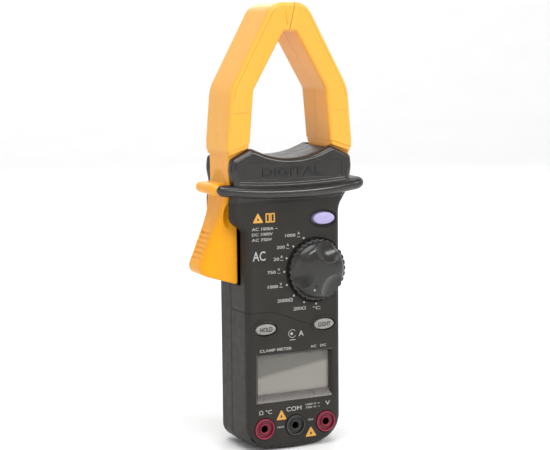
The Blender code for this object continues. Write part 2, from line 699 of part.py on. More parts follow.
def wiring():
    """The fixed jaw's winding lead, from the foot of its arm to the board."""
    bend = Vector((16.5, -22, 145.4))
    put("coil_lead", tube(curve((26.0, -21.5, 145.2), bend, (17.0, BOARD_Y[1] + 1.2, 128)), 0.8), RUBBER)


for leftover in list(bpy.data.objects):
    bpy.data.objects.remove(leftover)

SHELL = paint("charcoal_abs", (0.045, 0.043, 0.040), 0.5)
JAW = paint("jaw_yellow", (0.95, 0.46, 0.04), 0.4)
KNOB_BLACK = paint("knob_black", (0.035, 0.034, 0.033), 0.45)
KEY_GREY = paint("key_grey", (0.40, 0.40, 0.37), 0.5)
LAVENDER = paint("key_lavender", (0.45, 0.40, 0.75), 0.45)
JACK_RED = paint("jack_red", (0.30, 0.01, 0.03), 0.35)
JACK_BLACK = paint("jack_black", (0.01, 0.01, 0.01), 0.35)
CLEAR = paint("clear_pane", (0.8, 0.82, 0.8), 0.05, alpha=0.35)
LCD = paint("lcd_grey", (0.36, 0.36, 0.30), 0.3)
LIGHT_GUIDE = paint("light_guide", (0.85, 0.85, 0.82), 0.4)
RUBBER = paint("black_rubber", (0.02, 0.02, 0.02), 0.8)
NYLON = paint("white_nylon", (0.75, 0.74, 0.70), 0.5)
BOARD = paint("board_green", (0.02, 0.16, 0.06), 0.45)
CHIP = paint("chip_black", (0.015, 0.015, 0.016), 0.4)
CAN = paint("capacitor_sleeve", (0.03, 0.05, 0.18), 0.35)
CELL = paint("battery_sleeve", (0.10, 0.10, 0.11), 0.3, 0.3)
STEEL = paint("zinc_steel", (0.62, 0.62, 0.60), 0.3, 1.0)
BRASS = paint("brass", (0.72, 0.52, 0.20), 0.3, 1.0)
CORE = paint("laminated_steel", (0.30, 0.30, 0.31), 0.45, 0.9)
COPPER = paint("taped_winding", (0.55, 0.22, 0.06), 0.5)

METER = empty("meter", (0, 0, -ORIGIN_HEIGHT))
JAW_PIVOT = empty("jaw_pivot", (PIVOT[0], SEAM_Y, PIVOT[1]), METER)
KNOB_AXIS = empty("knob_axis", (KNOB[0], FACE_Y, KNOB[1]), METER)
DOOR_HUB = empty("door_hub", (0, 0, 45), METER)

front_case()
rear_case()
moving_jaw(JAW_PIVOT)
core("moving_jaw_core", -1, JAW_PIVOT)
coil("moving_jaw_coil", -1, JAW_PIVOT)
fixed_jaw()
core("fixed_jaw_core", 1)
coil("fixed_jaw_coil", 1)
pivot(JAW_PIVOT)
torsion_spring(JAW_PIVOT)
rotary_knob(KNOB_AXIS)
switch_rotor(KNOB_AXIS)
detent_ring()
buttons()
display()
jacks()
main_board()
battery()
battery_door(DOOR_HUB)
wiring()
for screw_number, screw_place in enumerate(CASE_SCREWS):
    screw(f"case_screw_{screw_number + 1}", screw_place, -9.2, -26.0, 2.8, 1.15, 1.8)
screw("jaw_screw", JAW_SCREW, -2.7, -30.0, 2.7, 1.1, 1.8)
screw("door_screw", DOOR_SCREW, -0.7, -8.5, 1.3, 0.9, 0.6, DOOR_HUB)
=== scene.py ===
"""Clamp meter: the finished surfaces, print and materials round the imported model.

Shapes are drawn in millimetres in the part's own layout: X to the right, Y from the panel to the flat back at
y = 0, and heights Z counted from the lower end. place() turns them into the frame's metres.
"""

import json
from math import atan2, cos, pi, radians, sin, sqrt, tan

import bmesh
import bpy
from mathutils import Matrix, Vector


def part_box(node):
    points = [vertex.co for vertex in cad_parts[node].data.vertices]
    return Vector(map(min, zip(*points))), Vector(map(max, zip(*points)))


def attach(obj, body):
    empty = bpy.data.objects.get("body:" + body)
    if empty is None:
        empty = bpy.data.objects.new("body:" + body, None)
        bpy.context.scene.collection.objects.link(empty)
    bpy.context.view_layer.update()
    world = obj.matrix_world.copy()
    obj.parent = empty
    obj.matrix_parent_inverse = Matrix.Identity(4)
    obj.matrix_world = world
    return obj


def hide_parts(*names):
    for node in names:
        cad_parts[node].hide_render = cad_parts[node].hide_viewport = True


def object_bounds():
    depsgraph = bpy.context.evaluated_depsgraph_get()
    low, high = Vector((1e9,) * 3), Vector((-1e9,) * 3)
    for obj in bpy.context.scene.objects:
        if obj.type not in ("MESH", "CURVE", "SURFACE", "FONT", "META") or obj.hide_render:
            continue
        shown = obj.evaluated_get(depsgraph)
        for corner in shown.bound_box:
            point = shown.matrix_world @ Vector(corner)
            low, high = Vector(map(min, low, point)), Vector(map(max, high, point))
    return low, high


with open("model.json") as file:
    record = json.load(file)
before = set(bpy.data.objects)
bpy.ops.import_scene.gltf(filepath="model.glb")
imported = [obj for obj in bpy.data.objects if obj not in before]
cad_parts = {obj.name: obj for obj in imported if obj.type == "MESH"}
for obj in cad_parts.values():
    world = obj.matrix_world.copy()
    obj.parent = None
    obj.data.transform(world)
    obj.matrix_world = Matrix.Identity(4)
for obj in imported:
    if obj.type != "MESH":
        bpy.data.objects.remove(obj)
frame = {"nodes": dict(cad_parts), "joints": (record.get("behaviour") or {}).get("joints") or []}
cad_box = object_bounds()

MM = 0.001
BASE = 100.0


def spot(node):
    """Middle and half-size of a node's box, in this script's millimetres."""
    low, high = (corner / MM + Vector((0, 0, BASE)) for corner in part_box(node))
    return (low + high) / 2, (high - low) / 2


def axis_of(joint):
    """Where a joint's axis crosses the panel, as (x, z)."""
    pos = next(j["pos_m"] for j in frame["joints"] if j["name"] == joint)
    return pos[0] / MM, pos[2] / MM + BASE


# Case
FACE_Y = -40.5
AHEAD_Y, THROUGH_Y = -60.0, -37.0
SPLIT_Y = -18.0
GAP = 0.3
WALL = 2.2
SCREW_POST_R, BOARD_POST_R, PIVOT_POST_R, PIVOT_R = 3.2, 2.6, 5.2, 2.8
BODY_HALF = 29.7
SHOULDER_HALF = 38.0
PEAK_X, PEAK_Z = 25.0, 172.6
SHOULDER_DIP = 6.1
FRONT_RIM, REAR_RIM = 4.0, 4.5
COVER_BACK_Y = -35.5
REAR_COVER_Y = -8.5
ARM_CHANNEL_X = 22.6
LEVER_CHANNEL_Z, FIXED_CHANNEL_Z = 127.0, 154.2

# Hand guard
GUARD_HALF = 48.0
GUARD_FRONT_Y = -46.0
GUARD_BEAD = 3.15
GUARD_MIDDLE = 147.0
GUARD_SAG = 3.0
GUARD_ROOT = 34.8
BEAD_ARC = [radians(-90 + 15 * k) for k in range(13)]

# Jaws and lever
JAW_FRONT_Y, JAW_REAR_Y = -38.0, -5.0
JAW_RIM = 2.2
SEAM_Y = -21.5
SEAM_HALF = 0.09
COLLAR_SLIM, COLLAR_DROP, POCKET_DROP = 0.5, 2.2, 14.5
TRIGGER_EDGE = [(109.8, -51.4), (113.3, -49.9), (117.6, -48.2), (121.3, -46.6), (127.7, -44.1)]
TIP, APEX = 253.0, 236.8
PIVOT = axis_of("jaw_hinge")
BUSH_R = 3.75
TRIGGER_FRONT_Y, TRIGGER_REAR_Y = -31.5, -10.5
TRIGGER_IN_X = -31.0

# Rotary switch
KNOB = axis_of("knob_turn")
KNOB_R = 17.8
WELL_R = 18.5
WELL_FLOOR_Y = -39.3
KNOB_TOP_Y = -48.48
RIM_TOP_Y = -43.3
SHAFT_R = 3.6
TEETH = 32
SCOOP_R, SCOOP_AT = 14.6, 16.7
SCOOPS = [radians(67.5 + 120 * k) for k in range(3)]
POINTER = radians(247.5)

# Display, sockets and screws
WINDOW = (23.9, 27.3, 54.6)
PANE_Y = -38.1
JACK_R = 6.0
CASE_SCREWS = [spot(f"case_screw_{k}")[0] for k in range(1, 5)]
PRINT_Y, PRINT_BACK_Y = FACE_Y - 0.06, FACE_Y + 0.06
CAP_SHARE = 0.69


# Outlines

def area(corners):
    return sum(a[0] * b[1] - b[0] * a[1] for a, b in zip(corners, corners[1:] + corners[:1])) / 2


def offset(corners, distance):
    """Outline corners (u, v[, radius]) moved inwards, their arcs kept concentric."""
    inwards = 1 if area(corners) > 0 else -1
    moved = []
    for i, corner in enumerate(corners):
        here = Vector(corner[:2])
        before = (here - Vector(corners[i - 1][:2])).normalized()
        after = (Vector(corners[(i + 1) % len(corners)][:2]) - here).normalized()
        normals = [Vector((-way.y, way.x)) * inwards for way in (before, after)]
        place_ = here + (normals[0] + normals[1]) / (1 + normals[0].dot(normals[1])) * distance
        if len(corner) == 2:
            moved.append((*place_,))
            continue
        convex = before.cross(after) * inwards > 0
        moved.append((*place_, max(0.05, corner[2] - distance if convex else corner[2] + distance)))
    return moved


def fillet(corners, steps=10):
    """Closed outline through (u, v) or (u, v, radius) corners, the latter rounded by an arc."""
    points = []
    for i, corner in enumerate(corners):
        here = Vector(corner[:2])
        if len(corner) == 2:
            points.append(tuple(here))
            continue
        back = (Vector(corners[i - 1][:2]) - here).normalized()
        ahead = (Vector(corners[(i + 1) % len(corners)][:2]) - here).normalized()
        half = back.angle(ahead) / 2
        centre = here + (back + ahead).normalized() * (corner[2] / sin(half))
        start = here + back * (corner[2] / tan(half)) - centre
        turn = start.angle_signed(here + ahead * (corner[2] / tan(half)) - centre)
        first = atan2(start.y, start.x)
        for k in range(steps + 1):
            angle = first - turn * k / steps
            points.append(tuple(centre + corner[2] * Vector((cos(angle), sin(angle)))))
    return points


def ellipse(centre, half_width, half_height, steps=64):
    turns = [2 * pi * k / steps for k in range(steps)]
    return [(centre[0] + half_width * cos(t), centre[1] + half_height * sin(t)) for t in turns]


def circle(radius, centre=(0.0, 0.0), steps=48):
    return ellipse(centre, radius, radius, steps)


def polar(radius, turn, centre=(0.0, 0.0)):
    return centre[0] + radius * cos(turn), centre[1] + radius * sin(turn)


def rectangle(u0, u1, v0, v1, radius=None):
    corners = [(u0, v0), (u1, v0), (u1, v1), (u0, v1)]
    return [(*corner, radius) for corner in corners] if radius else corners


def through(points, value):
    """Smooth curve through (input, output) points, read at one input."""
    inputs = [p[0] for p in points]
    value = min(max(value, inputs[0]), inputs[-1])
    k = max(i for i in range(len(points) - 1) if inputs[i] <= value)
    t = (value - inputs[k]) / (inputs[k + 1] - inputs[k])
    y0, y1, y2, y3 = (points[min(max(i, 0), len(points) - 1)][1] for i in range(k - 1, k + 3))
    return 0.5 * (2 * y1 + (y2 - y0) * t + (2 * y0 - 5 * y1 + 4 * y2 - y3) * t * t
                  + (3 * y1 - y0 - 3 * y2 + y3) * t ** 3)


# Solids

def skin(rings):
    """Closed surface over rings of the same number of points."""
    bm = bmesh.new()
    rings = [[bm.verts.new(point) for point in ring] for ring in rings]
    count = len(rings[0])
    for one, two in zip(rings, rings[1:]):
        for k in range(count):
            bm.faces.new((one[k], one[(k + 1) % count], two[(k + 1) % count], two[k]))
    bm.faces.new(rings[0])
    bm.faces.new(rings[-1])
    bmesh.ops.recalc_face_normals(bm, faces=bm.faces)
    return bm


def rims(low, high, round_low, round_high, steps):
    """(inset, height) pairs that round the two rims of a prism."""
    pairs = []
    for k in range(steps + 1 if round_low else 1):
        turn = pi / 2 * k / steps
        pairs.append((round_low * (1 - sin(turn)), low + round_low * (1 - cos(turn))))
    for k in reversed(range(steps + 1 if round_high else 1)):
        turn = pi / 2 * k / steps
        pairs.append((round_high * (1 - sin(turn)), high - round_high * (1 - cos(turn))))
    return pairs


def prism(corners, low, high, round_low=0.0, round_high=0.0, steps=8, arc=10):
    """The outline through the corners, extruded along Y, with rounded rims where a radius is given."""
    return skin([[(x, y, z) for x, z in fillet(offset(corners, inset), arc)]
                 for inset, y in rims(low, high, round_low, round_high, steps)])


def stack(centre, rows):
    """Solid over ellipses about a line along Y, from (half-width, half-height, y) rows."""
    return skin([[(x, y, z) for x, z in ellipse(centre, width, height)] for width, height, y in rows])


def box(x0, x1, y0, y1, z0, z1):
    return prism(rectangle(x0, x1, z0, z1), y0, y1)


def rod(centre, radius, y0, y1, steps=40):
    return skin([[(x, y, z) for x, z in circle(radius, centre, steps)] for y in (y0, y1)])


def turned(profile, centre, steps=64, ring=False):
    """Round piece about a line along Y, from (radius, y) points. A ring joins its last point to its first."""
    bm = bmesh.new()
    rings = []
    for radius, y in profile:
        spots = circle(radius, centre, steps) if radius else [centre]
        rings.append([bm.verts.new((x, y, z)) for x, z in spots])
    for one, two in list(zip(rings, rings[1:])) + ([(rings[-1], rings[0])] if ring else []):
        for k in range(steps):
            corners = [one[k % len(one)], one[(k + 1) % steps % len(one)],
                       two[(k + 1) % steps % len(two)], two[k % len(two)]]
            corners = [v for n, v in enumerate(corners) if v is not corners[n - 1]]
            if len(corners) > 2:
                bm.faces.new(corners)
    if not ring:
        for end in (rings[0], rings[-1]):
            if len(end) > 1:
                bm.faces.new(end)
    bmesh.ops.recalc_face_normals(bm, faces=bm.faces)
    return bm


def lipped(outline_at, lip, floor=THROUGH_Y, face=FACE_Y):
    """Cutter for an opening in the face whose edge is rounded by lip; outline_at(grow) is its outline."""
    layers = [(lip, face - 20), (lip, face)]
    for degrees in (18, 36, 54, 72, 90):
        turn = radians(degrees)
        layers.append((lip * (1 - sin(turn)), face + lip * (1 - cos(turn))))
    layers.append((0, floor))
    return skin([[(u, y, v) for u, v in outline_at(grow)] for grow, y in layers])


def wire(points, radius, sides=8):
    """Round bar along a list of points."""
    points = [Vector(p) for p in points]
    side = None
    rings = []
    for i, here in enumerate(points):
        way = (points[min(i + 1, len(points) - 1)] - points[max(i - 1, 0)]).normalized()
        side = way.orthogonal() if side is None else side
        side = (side - way * side.dot(way)).normalized()
        up = way.cross(side)
        rings.append([here + side * u + up * v for u, v in circle(radius, steps=sides)])
    return skin(rings)


def ball(centre, radii):
    bm = bmesh.new()
    bmesh.ops.create_uvsphere(bm, u_segments=48, v_segments=24, radius=1.0,
                              matrix=Matrix.Translation(centre) @ Matrix.Diagonal((*radii, 1)))
    return bm


def together(solids):
    whole = bmesh.new()
    for solid in solids:
        copy = mesh_of("copy", solid)
        whole.from_mesh(copy)
        bpy.data.meshes.remove(copy)
    return whole


def linked(name, data):
    obj = bpy.data.objects.new(name, data)
    bpy.context.scene.collection.objects.link(obj)
    return obj


def mesh_of(name, bm):
    mesh = bpy.data.meshes.new(name)
    bm.to_mesh(mesh)
    bm.free()
    return mesh


def cut(*solids):
    return "DIFFERENCE", solids


def add(*solids):
    return "UNION", solids


def carve(base, *steps):
    """The base after Boolean steps, each made by cut or add."""
    obj = linked("loose", mesh_of("loose", base))
    tools = []
    for operation, solids in steps:
        tools.append(linked("loose", mesh_of("loose", together(solids))))
        modifier = obj.modifiers.new("step", "BOOLEAN")
        modifier.operation = operation
        modifier.object = tools[-1]
    bpy.context.view_layer.update()
    mesh = bpy.data.meshes.new_from_object(obj.evaluated_get(bpy.context.evaluated_depsgraph_get()))
    carved = bmesh.new()
    carved.from_mesh(mesh)
    for used in (obj, *tools):
        bpy.data.objects.remove(used)
    return carved


def place(name, solid, material, body, *nodes, slot):
    """A finished piece: drawn in millimetres, moved into the frame, riding a body and standing for nodes."""
    bmesh.ops.translate(solid, verts=solid.verts, vec=(0, 0, -BASE))
    bmesh.ops.scale(solid, verts=solid.verts, vec=(MM, MM, MM))
    mesh = mesh_of(name, solid)
    mesh.shade_smooth()
    mesh.set_sharp_from_angle(angle=radians(32))
    obj = linked(name, mesh)
    weighted = obj.modifiers.new("weighted", "WEIGHTED_NORMAL")
    weighted.keep_sharp = True
    mesh.materials.append(material)
    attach(obj, body)
    if nodes:
        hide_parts(*nodes)
    return obj


# Materials

class Finish:
    """A procedural material, its nodes wired step by step."""

    def __init__(self, name, roughness, metallic=0.0, **inputs):
        self.material = bpy.data.materials.new(name)
        self.material.use_nodes = True
        self.tree = self.material.node_tree
        self.shader = self.tree.nodes["Principled BSDF"]
        self.shader.inputs["Roughness"].default_value = roughness
        self.shader.inputs["Metallic"].default_value = metallic
        for key, value in inputs.items():
            self.shader.inputs[key.replace("_", " ")].default_value = value
        self.coordinates = self.node("TexCoord").outputs["Object"]
        self.bump = None

    def node(self, kind, **values):
        made = self.tree.nodes.new("ShaderNode" + kind)
        for key, value in values.items():
            if isinstance(value, bpy.types.NodeSocket):
                self.tree.links.new(value, made.inputs[key.replace("_", " ")])
            elif key in ("operation", "data_type", "bands_direction", "feature"):
                setattr(made, key, value)
            else:
                made.inputs[key.replace("_", " ")].default_value = value
        return made

    def numbered(self, kind, values, output=0, **settings):
        """One output of a node whose inputs are linked or set by their numbers."""
        made = self.node(kind, **settings)
        for index, value in values.items():
            if isinstance(value, bpy.types.NodeSocket):
                self.tree.links.new(value, made.inputs[index])
            else:
                made.inputs[index].default_value = value
        return made.outputs[output]

    def noise(self, size, detail=3.0, roughness=0.5):
        """Noise with features of about the given size in millimetres."""
        made = self.node("TexNoise", Vector=self.coordinates, Scale=1 / (size * MM), Detail=detail,
                         Roughness=roughness)
        return made.outputs["Fac"]

    def stretch(self, x=1.0, y=1.0, z=1.0):
        return self.node("Mapping", Vector=self.coordinates, Scale=(x, y, z)).outputs["Vector"]

    def remap(self, value, low, high, to_low, to_high):
        made = self.node("MapRange", Value=value, From_Min=low, From_Max=high, To_Min=to_low, To_Max=to_high)
        return made.outputs["Result"]

    def times(self, one, two):
        return self.numbered("Math", {0: one, 1: two}, operation="MULTIPLY")

    def blend(self, factor, one, two):
        return self.numbered("Mix", {0: factor, 2: one, 3: two})

    def mix(self, factor, *colours):
        one, two = ((*c, 1.0) if isinstance(c, tuple) else c for c in colours)
        return self.numbered("Mix", {0: factor, 6: one, 7: two}, 2, data_type="RGBA")

    def patches(self, size, one, two, low=0.35, high=0.7, most=1.0):
        """Two colours, the second in soft patches of about the given size in millimetres."""
        return self.mix(self.remap(self.noise(size), low, high, 0.0, most), one, two)

    def height(self, value, depth, strength=1.0):
        """Bump of the given depth in millimetres, added to any that is there."""
        made = self.node("Bump", Height=value, Distance=depth * MM, Strength=strength)
        if self.bump:
            self.tree.links.new(self.bump, made.inputs["Normal"])
        self.bump = made.outputs["Normal"]
        self.tree.links.new(self.bump, self.shader.inputs["Normal"])
        return self

    def set(self, key, value):
        self.tree.links.new(value, self.shader.inputs[key])


def shade(colour, share):
    return tuple(min(1.0, value * share) for value in colour)


def plastic(name, colour, roughness, grain=0.35, depth=0.02, mottle=0.12, worn=None, upper=None,
            reflect=(0.5, 0.5), wave=0.05, **inputs):
    """Moulded plastic: fine surface grain, slight colour drift, uneven gloss and lighter worn edges. upper is
    a height, its blur, a depth, a roughness and a colour that take over above the height and in front of the
    depth, the gloss only off level tops; reflect is the specular level outside and inside."""
    finish = Finish(name, roughness, **inputs)
    drift = finish.patches(14.0, shade(colour, 1 - mottle), shade(colour, 1 + mottle), 0.3)
    speckle = finish.mix(finish.remap(finish.noise(grain * 2.5, 2.0), 0.35, 0.65, 0.0, 1.0),
                         shade(colour, 0.8), shade(colour, 1.2))
    base = finish.mix(0.35, drift, speckle)
    if worn:
        edges = finish.remap(finish.node("NewGeometry").outputs["Pointiness"], 0.52, 0.62, 0.0, 1.0)
        uneven = finish.remap(finish.noise(3.0), 0.35, 0.7, 0.2, 1.0)
        base = finish.mix(finish.times(edges, uneven), base, worn)
    gloss = finish.remap(finish.noise(5.0, 4.0), 0.3, 0.7, roughness - 0.06, roughness + 0.06)
    if upper:
        height, spread, back, polish, upper_tone_and_painted_light = upper
        level, blur, fade = (height - BASE) * MM, spread * MM, 7 * MM
        here = finish.node("SeparateXYZ", Vector=finish.coordinates).outputs
        normal = finish.node("SeparateXYZ", Vector=finish.node("NewGeometry").outputs["Normal"]).outputs
        share = finish.times(finish.remap(here["Z"], level - blur, level + blur, 0.0, 1.0),
                             finish.remap(here["Y"], back * MM - fade, back * MM + fade, 1.0, 0.0))
        # The upper colour blends in above the height: on the jaw yellow it is painted top light, on the
        # charcoal a darker tone above the guard.
        base = finish.mix(share, base, finish.mix(0.5, base, upper_tone_and_painted_light))
        smooth = finish.remap(finish.noise(5.0, 4.0), 0.3, 0.7, polish - 0.04, polish + 0.04)
        share = finish.times(share, finish.remap(normal["Z"], 0.80, 0.97, 1.0, 0.0))
        gloss = finish.blend(share, gloss, smooth)
        finish.set("Specular IOR Level", finish.remap(share, 0.0, 1.0, *reflect))
    finish.set("Base Color", base)
    finish.set("Roughness", gloss)
    finish.height(finish.noise(grain, 4.0, 0.6), depth)
    if wave:
        finish.height(finish.noise(9.0, 2.0), wave)
    return finish.material


def metal(name, colour, roughness, grain=(1.0, 0.15, 1.0)):
    """Plated or turned metal with fine tool marks and faint tarnish."""
    finish = Finish(name, roughness, 1.0)
    marks = finish.node("TexNoise", Vector=finish.stretch(*grain), Scale=2500.0, Detail=3.0).outputs["Fac"]
    finish.set("Base Color", finish.patches(2.0, colour, shade(colour, 0.7), most=0.6))
    finish.set("Roughness", finish.remap(marks, 0.3, 0.7, roughness - 0.08, roughness + 0.12))
    return finish.height(marks, 0.01).material


def laminations():
    """Thin steel sheets stacked along Y."""
    finish = Finish("laminated_steel", 0.42, 0.9)
    sheets = finish.node("TexWave", Vector=finish.coordinates, Scale=320.0, Distortion=0.4,
                         bands_direction="Y").outputs["Fac"]
    finish.set("Base Color", finish.mix(finish.remap(sheets, 0.1, 0.5, 0.0, 1.0), (0.05, 0.05, 0.055),
                                        (0.36, 0.36, 0.38)))
    return finish.height(sheets, 0.05).material


def tape():
    """Cloth tape wound round the winding, with the weave and the lapped edges showing."""
    finish = Finish("taped_winding", 0.75)
    laps = finish.node("TexWave", Vector=finish.coordinates, Scale=60.0, Distortion=0.6,
                       bands_direction="Z").outputs["Fac"]
    weave = finish.node("TexVoronoi", Vector=finish.coordinates, Scale=2600.0)
    finish.set("Base Color", finish.mix(laps, (0.42, 0.15, 0.03), (0.66, 0.30, 0.09)))
    finish.height(laps, 0.15)
    return finish.height(weave.outputs["Distance"], 0.03).material


def board():
    """Solder mask with the copper pattern showing through as a raised lighter green."""
    finish = Finish("circuit_board", 0.35, Coat_Weight=0.4)
    tracks = finish.node("TexVoronoi", Vector=finish.coordinates, Scale=260.0, feature="DISTANCE_TO_EDGE")
    lines = finish.remap(tracks.outputs["Distance"], 0.04, 0.07, 0.0, 1.0)
    finish.set("Base Color", finish.mix(lines, (0.03, 0.26, 0.10), (0.012, 0.12, 0.045)))
    return finish.height(lines, 0.03, 0.5).material


def liquid_crystal():
    """Grey-green cell, paler and warmer below a slanting line: a painted reflection. A soft dark spot near
    the top right corner is a painted dark reflection.
    """
    finish = Finish("liquid_crystal", 0.3, Specular_IOR_Level=0.3)
    axes = finish.node("SeparateXYZ", Vector=finish.coordinates).outputs
    # Painted reflection: the cell turns paler and warmer below this slanting line.
    slant = finish.numbered("Math", {0: axes["X"], 1: -0.16, 2: axes["Z"]}, operation="MULTIPLY_ADD")
    middle = spot("lcd_panel")[0]
    edge = (middle.z + 3.6 - BASE) * MM
    share = finish.remap(slant, edge - 1.3 * MM, edge + 1.1 * MM, 0.0, 1.0)
    cell = finish.mix(share, (0.40, 0.365, 0.325), (0.100, 0.088, 0.050))
    # Painted dark reflection: a soft dark spot near the top right corner of the cell.
    corner = (0.0215, middle.y * MM, (51.8 - BASE) * MM)
    from_dark_reflection = finish.numbered("VectorMath", {0: finish.coordinates, 1: corner}, 1, operation="DISTANCE")
    cell = finish.mix(finish.remap(from_dark_reflection, 1.2 * MM, 4.2 * MM, 0.75, 0.0), cell, (0.03, 0.028, 0.02))
    finish.set("Base Color", finish.patches(0.3, cell, (0.15, 0.15, 0.12), 0.3, most=0.05))
    return finish.height(finish.noise(0.25), 0.001).material


def pane():
    finish = Finish("clear_pane", 0.06, Transmission_Weight=0.96, IOR=1.45)
    finish.set("Base Color", finish.patches(20.0, (0.90, 0.90, 0.88), (0.96, 0.96, 0.94), 0.3))
    finish.set("Roughness", finish.remap(finish.noise(1.2, 6.0), 0.45, 0.8, 0.03, 0.12))
    return finish.height(finish.noise(6.0), 0.01).material


CHARCOAL = plastic("charcoal_abs", (0.032, 0.0295, 0.0265), 0.44, grain=0.30, worn=(0.035, 0.033, 0.03),
                   upper=(143.0, 0.6, -17, 0.20, (0.012, 0.010, 0.010)), reflect=(0.13, 0.58))
# The jaw yellow's paler colour towards the top is painted top light; below it the trigger stays deeper in
# colour.
YELLOW = plastic("jaw_yellow", (0.84, 0.345, 0.004), 0.36, grain=0.22, depth=0.004, mottle=0.03,
                 worn=(0.93, 0.50, 0.08), upper=(158.0, 16.0, 20, 0.36, (0.92, 0.47, 0.085)),
                 reflect=(0.28, 0.48), Subsurface_Weight=0.08, Subsurface_Radius=(0.004, 0.002, 0.001))
# Paler grey for the display sill and the line round the opening: painted highlight.
SILL_AND_EDGE_HIGHLIGHT = plastic("display_sill", (0.10, 0.089, 0.084), 0.3, grain=0.3, depth=0.004, wave=None)
KNOB_BLACK = plastic("knob_black", (0.019, 0.018, 0.017), 0.21, grain=0.25, depth=0.006,
                     worn=(0.05, 0.05, 0.047))
KEY_GREY = plastic("key_grey", (0.27, 0.265, 0.245), 0.45, grain=0.3, depth=0.01, mottle=0.06)
LAVENDER = plastic("key_lavender", (0.42, 0.37, 0.62), 0.38, grain=0.3, depth=0.008, mottle=0.05,
                   Subsurface_Weight=0.1, Subsurface_Radius=(0.002, 0.002, 0.003))
RED, BLACK = (plastic(name, colour, 0.34, grain=0.2, depth=0.01) for name, colour in (
    ("socket_red", (0.135, 0.001, 0.014)), ("socket_black", (0.010, 0.010, 0.010))))
# Paler socket rims: painted highlight on the rounded edges, together with edge wear.
RED_RIM_WEAR_AND_HIGHLIGHT, BLACK_RIM_WEAR_AND_HIGHLIGHT = (plastic(name, colour, 0.42, grain=0.2, depth=0.012) for name, colour in (
    ("socket_red_rim_wear_and_highlight", (0.27, 0.010, 0.04)), ("socket_black_rim_wear_and_highlight", (0.035, 0.035, 0.034))))
WHITE_INK = plastic("white_ink", (0.44, 0.43, 0.415), 0.55, grain=0.15, depth=0.01)
AMBER_INK = plastic("amber_ink", (0.66, 0.33, 0.05), 0.5, grain=0.15, depth=0.01)
DARK_INK = plastic("dark_ink", (0.02, 0.02, 0.02), 0.5, grain=0.15, depth=0.01)
NYLON = plastic("white_nylon", (0.72, 0.71, 0.66), 0.45, grain=0.4, depth=0.01, Subsurface_Weight=0.1)
RUBBER = plastic("black_rubber", (0.018, 0.018, 0.018), 0.75, grain=0.2)
CHIP = plastic("chip_black", (0.018, 0.018, 0.019), 0.5, grain=0.12, depth=0.015)
SLEEVE_BLUE = plastic("capacitor_sleeve", (0.03, 0.05, 0.18), 0.3, grain=0.3, depth=0.006)
CELL = plastic("battery_sleeve", (0.09, 0.09, 0.10), 0.28, grain=0.4, depth=0.005, Coat_Weight=0.5)
GUIDE = plastic("light_guide", (0.84, 0.84, 0.80), 0.35, grain=0.6)
STEEL = metal("zinc_steel", (0.62, 0.62, 0.60), 0.28)
BRASS = metal("brass", (0.74, 0.53, 0.20), 0.26, (1.0, 0.1, 1.0))
TARNISHED = metal("tarnished_brass", (0.10, 0.065, 0.03), 0.42, (1.0, 0.1, 1.0))
LAMINATED = laminations()
TAPE = tape()
BOARD = board()
CRYSTAL = liquid_crystal()
PANE = pane()


# Case

def shoulder(x):
    """Height of the dip between the shoulder's two peaks."""
    return PEAK_Z - SHOULDER_DIP * (1 - (x / PEAK_X) ** 2)


def case_corners(corner=8.0):
    """The case from the front: rounded lower end, straight sides, and a shoulder with a dip between peaks."""
    stations, reach = 24, 17.5
    xs = [reach * (1 - 2 * k / stations) for k in range(stations + 1)]
    return [
        (0, -1.5, 60), (BODY_HALF, 1.4, corner), (BODY_HALF, 137.5, 12), (36.2, 147.5, 9),
        (SHOULDER_HALF, 160, 12), (37.2, 166.6, 3), (PEAK_X, PEAK_Z, 4), *[(x, shoulder(x)) for x in xs],
        (-PEAK_X, PEAK_Z, 4), (-37.2, 166.6, 3), (-SHOULDER_HALF, 160, 12), (-36.4, 151, 8),
        (-SHOULDER_HALF, 143, 8), (-SHOULDER_HALF, 131.5, 6), (-BODY_HALF, 126.0, 2),
        (-BODY_HALF, 1.4, corner),
    ]


def guard(x):
    """Height of the hand guard's middle, which rises towards its ends."""
    return GUARD_MIDDLE + GUARD_SAG * (x / GUARD_HALF) ** 2


def case_root(x, y, out):
    return x * GUARD_ROOT / GUARD_HALF, max(y - GUARD_BEAD * out.y + 0.6, FACE_Y + 2.0)


def bead(path, root=case_root, bulge=GUARD_BEAD):
    """The guard's half-round bead along outer edge points (x, y[, share]), with a web to its root. A share
    under 1 shrinks the section, to close an end."""
    rings = []
    for i, (x, y, *share) in enumerate(path):
        size = share[0] if share else 1.0
        ahead, behind = path[min(i + 1, len(path) - 1)], path[max(i - 1, 0)]
        way = Vector((ahead[0] - behind[0], ahead[1] - behind[1])).normalized()
        out = Vector((way.y, -way.x))
        inner = root(x, y, out)
        ring = [(*inner, guard(x) - GUARD_BEAD * size)]
        for turn in BEAD_ARC:
            ring.append((*(Vector((x, y)) + out * bulge * (size * cos(turn) - 1)),
                         guard(x) + GUARD_BEAD * size * sin(turn)))
        rings.append([*ring, (*inner, guard(x) + GUARD_BEAD * size)])
    bm = skin(rings)
    bmesh.ops.triangulate(bm, faces=bm.faces)
    return bm


def front_bead():
    bow = [(x, GUARD_FRONT_Y + 5.5 * (x / 40.0) ** 2) for x in (-42.7, *range(-42, 41, 2))]
    corner = [(40.0 + 8.0 * sin(radians(t)), -32.5 - 8.0 * cos(radians(t))) for t in range(10, 91, 10)]
    tip = [(-42.7 - 3.2 * sin(radians(t)), bow[0][1] + 0.9 * sin(radians(t)), cos(radians(t)))
           for t in (86, 75, 60, 45, 30, 15)]
    return bead(tip + bow + corner + [(GUARD_HALF, SPLIT_Y - GAP / 2)])


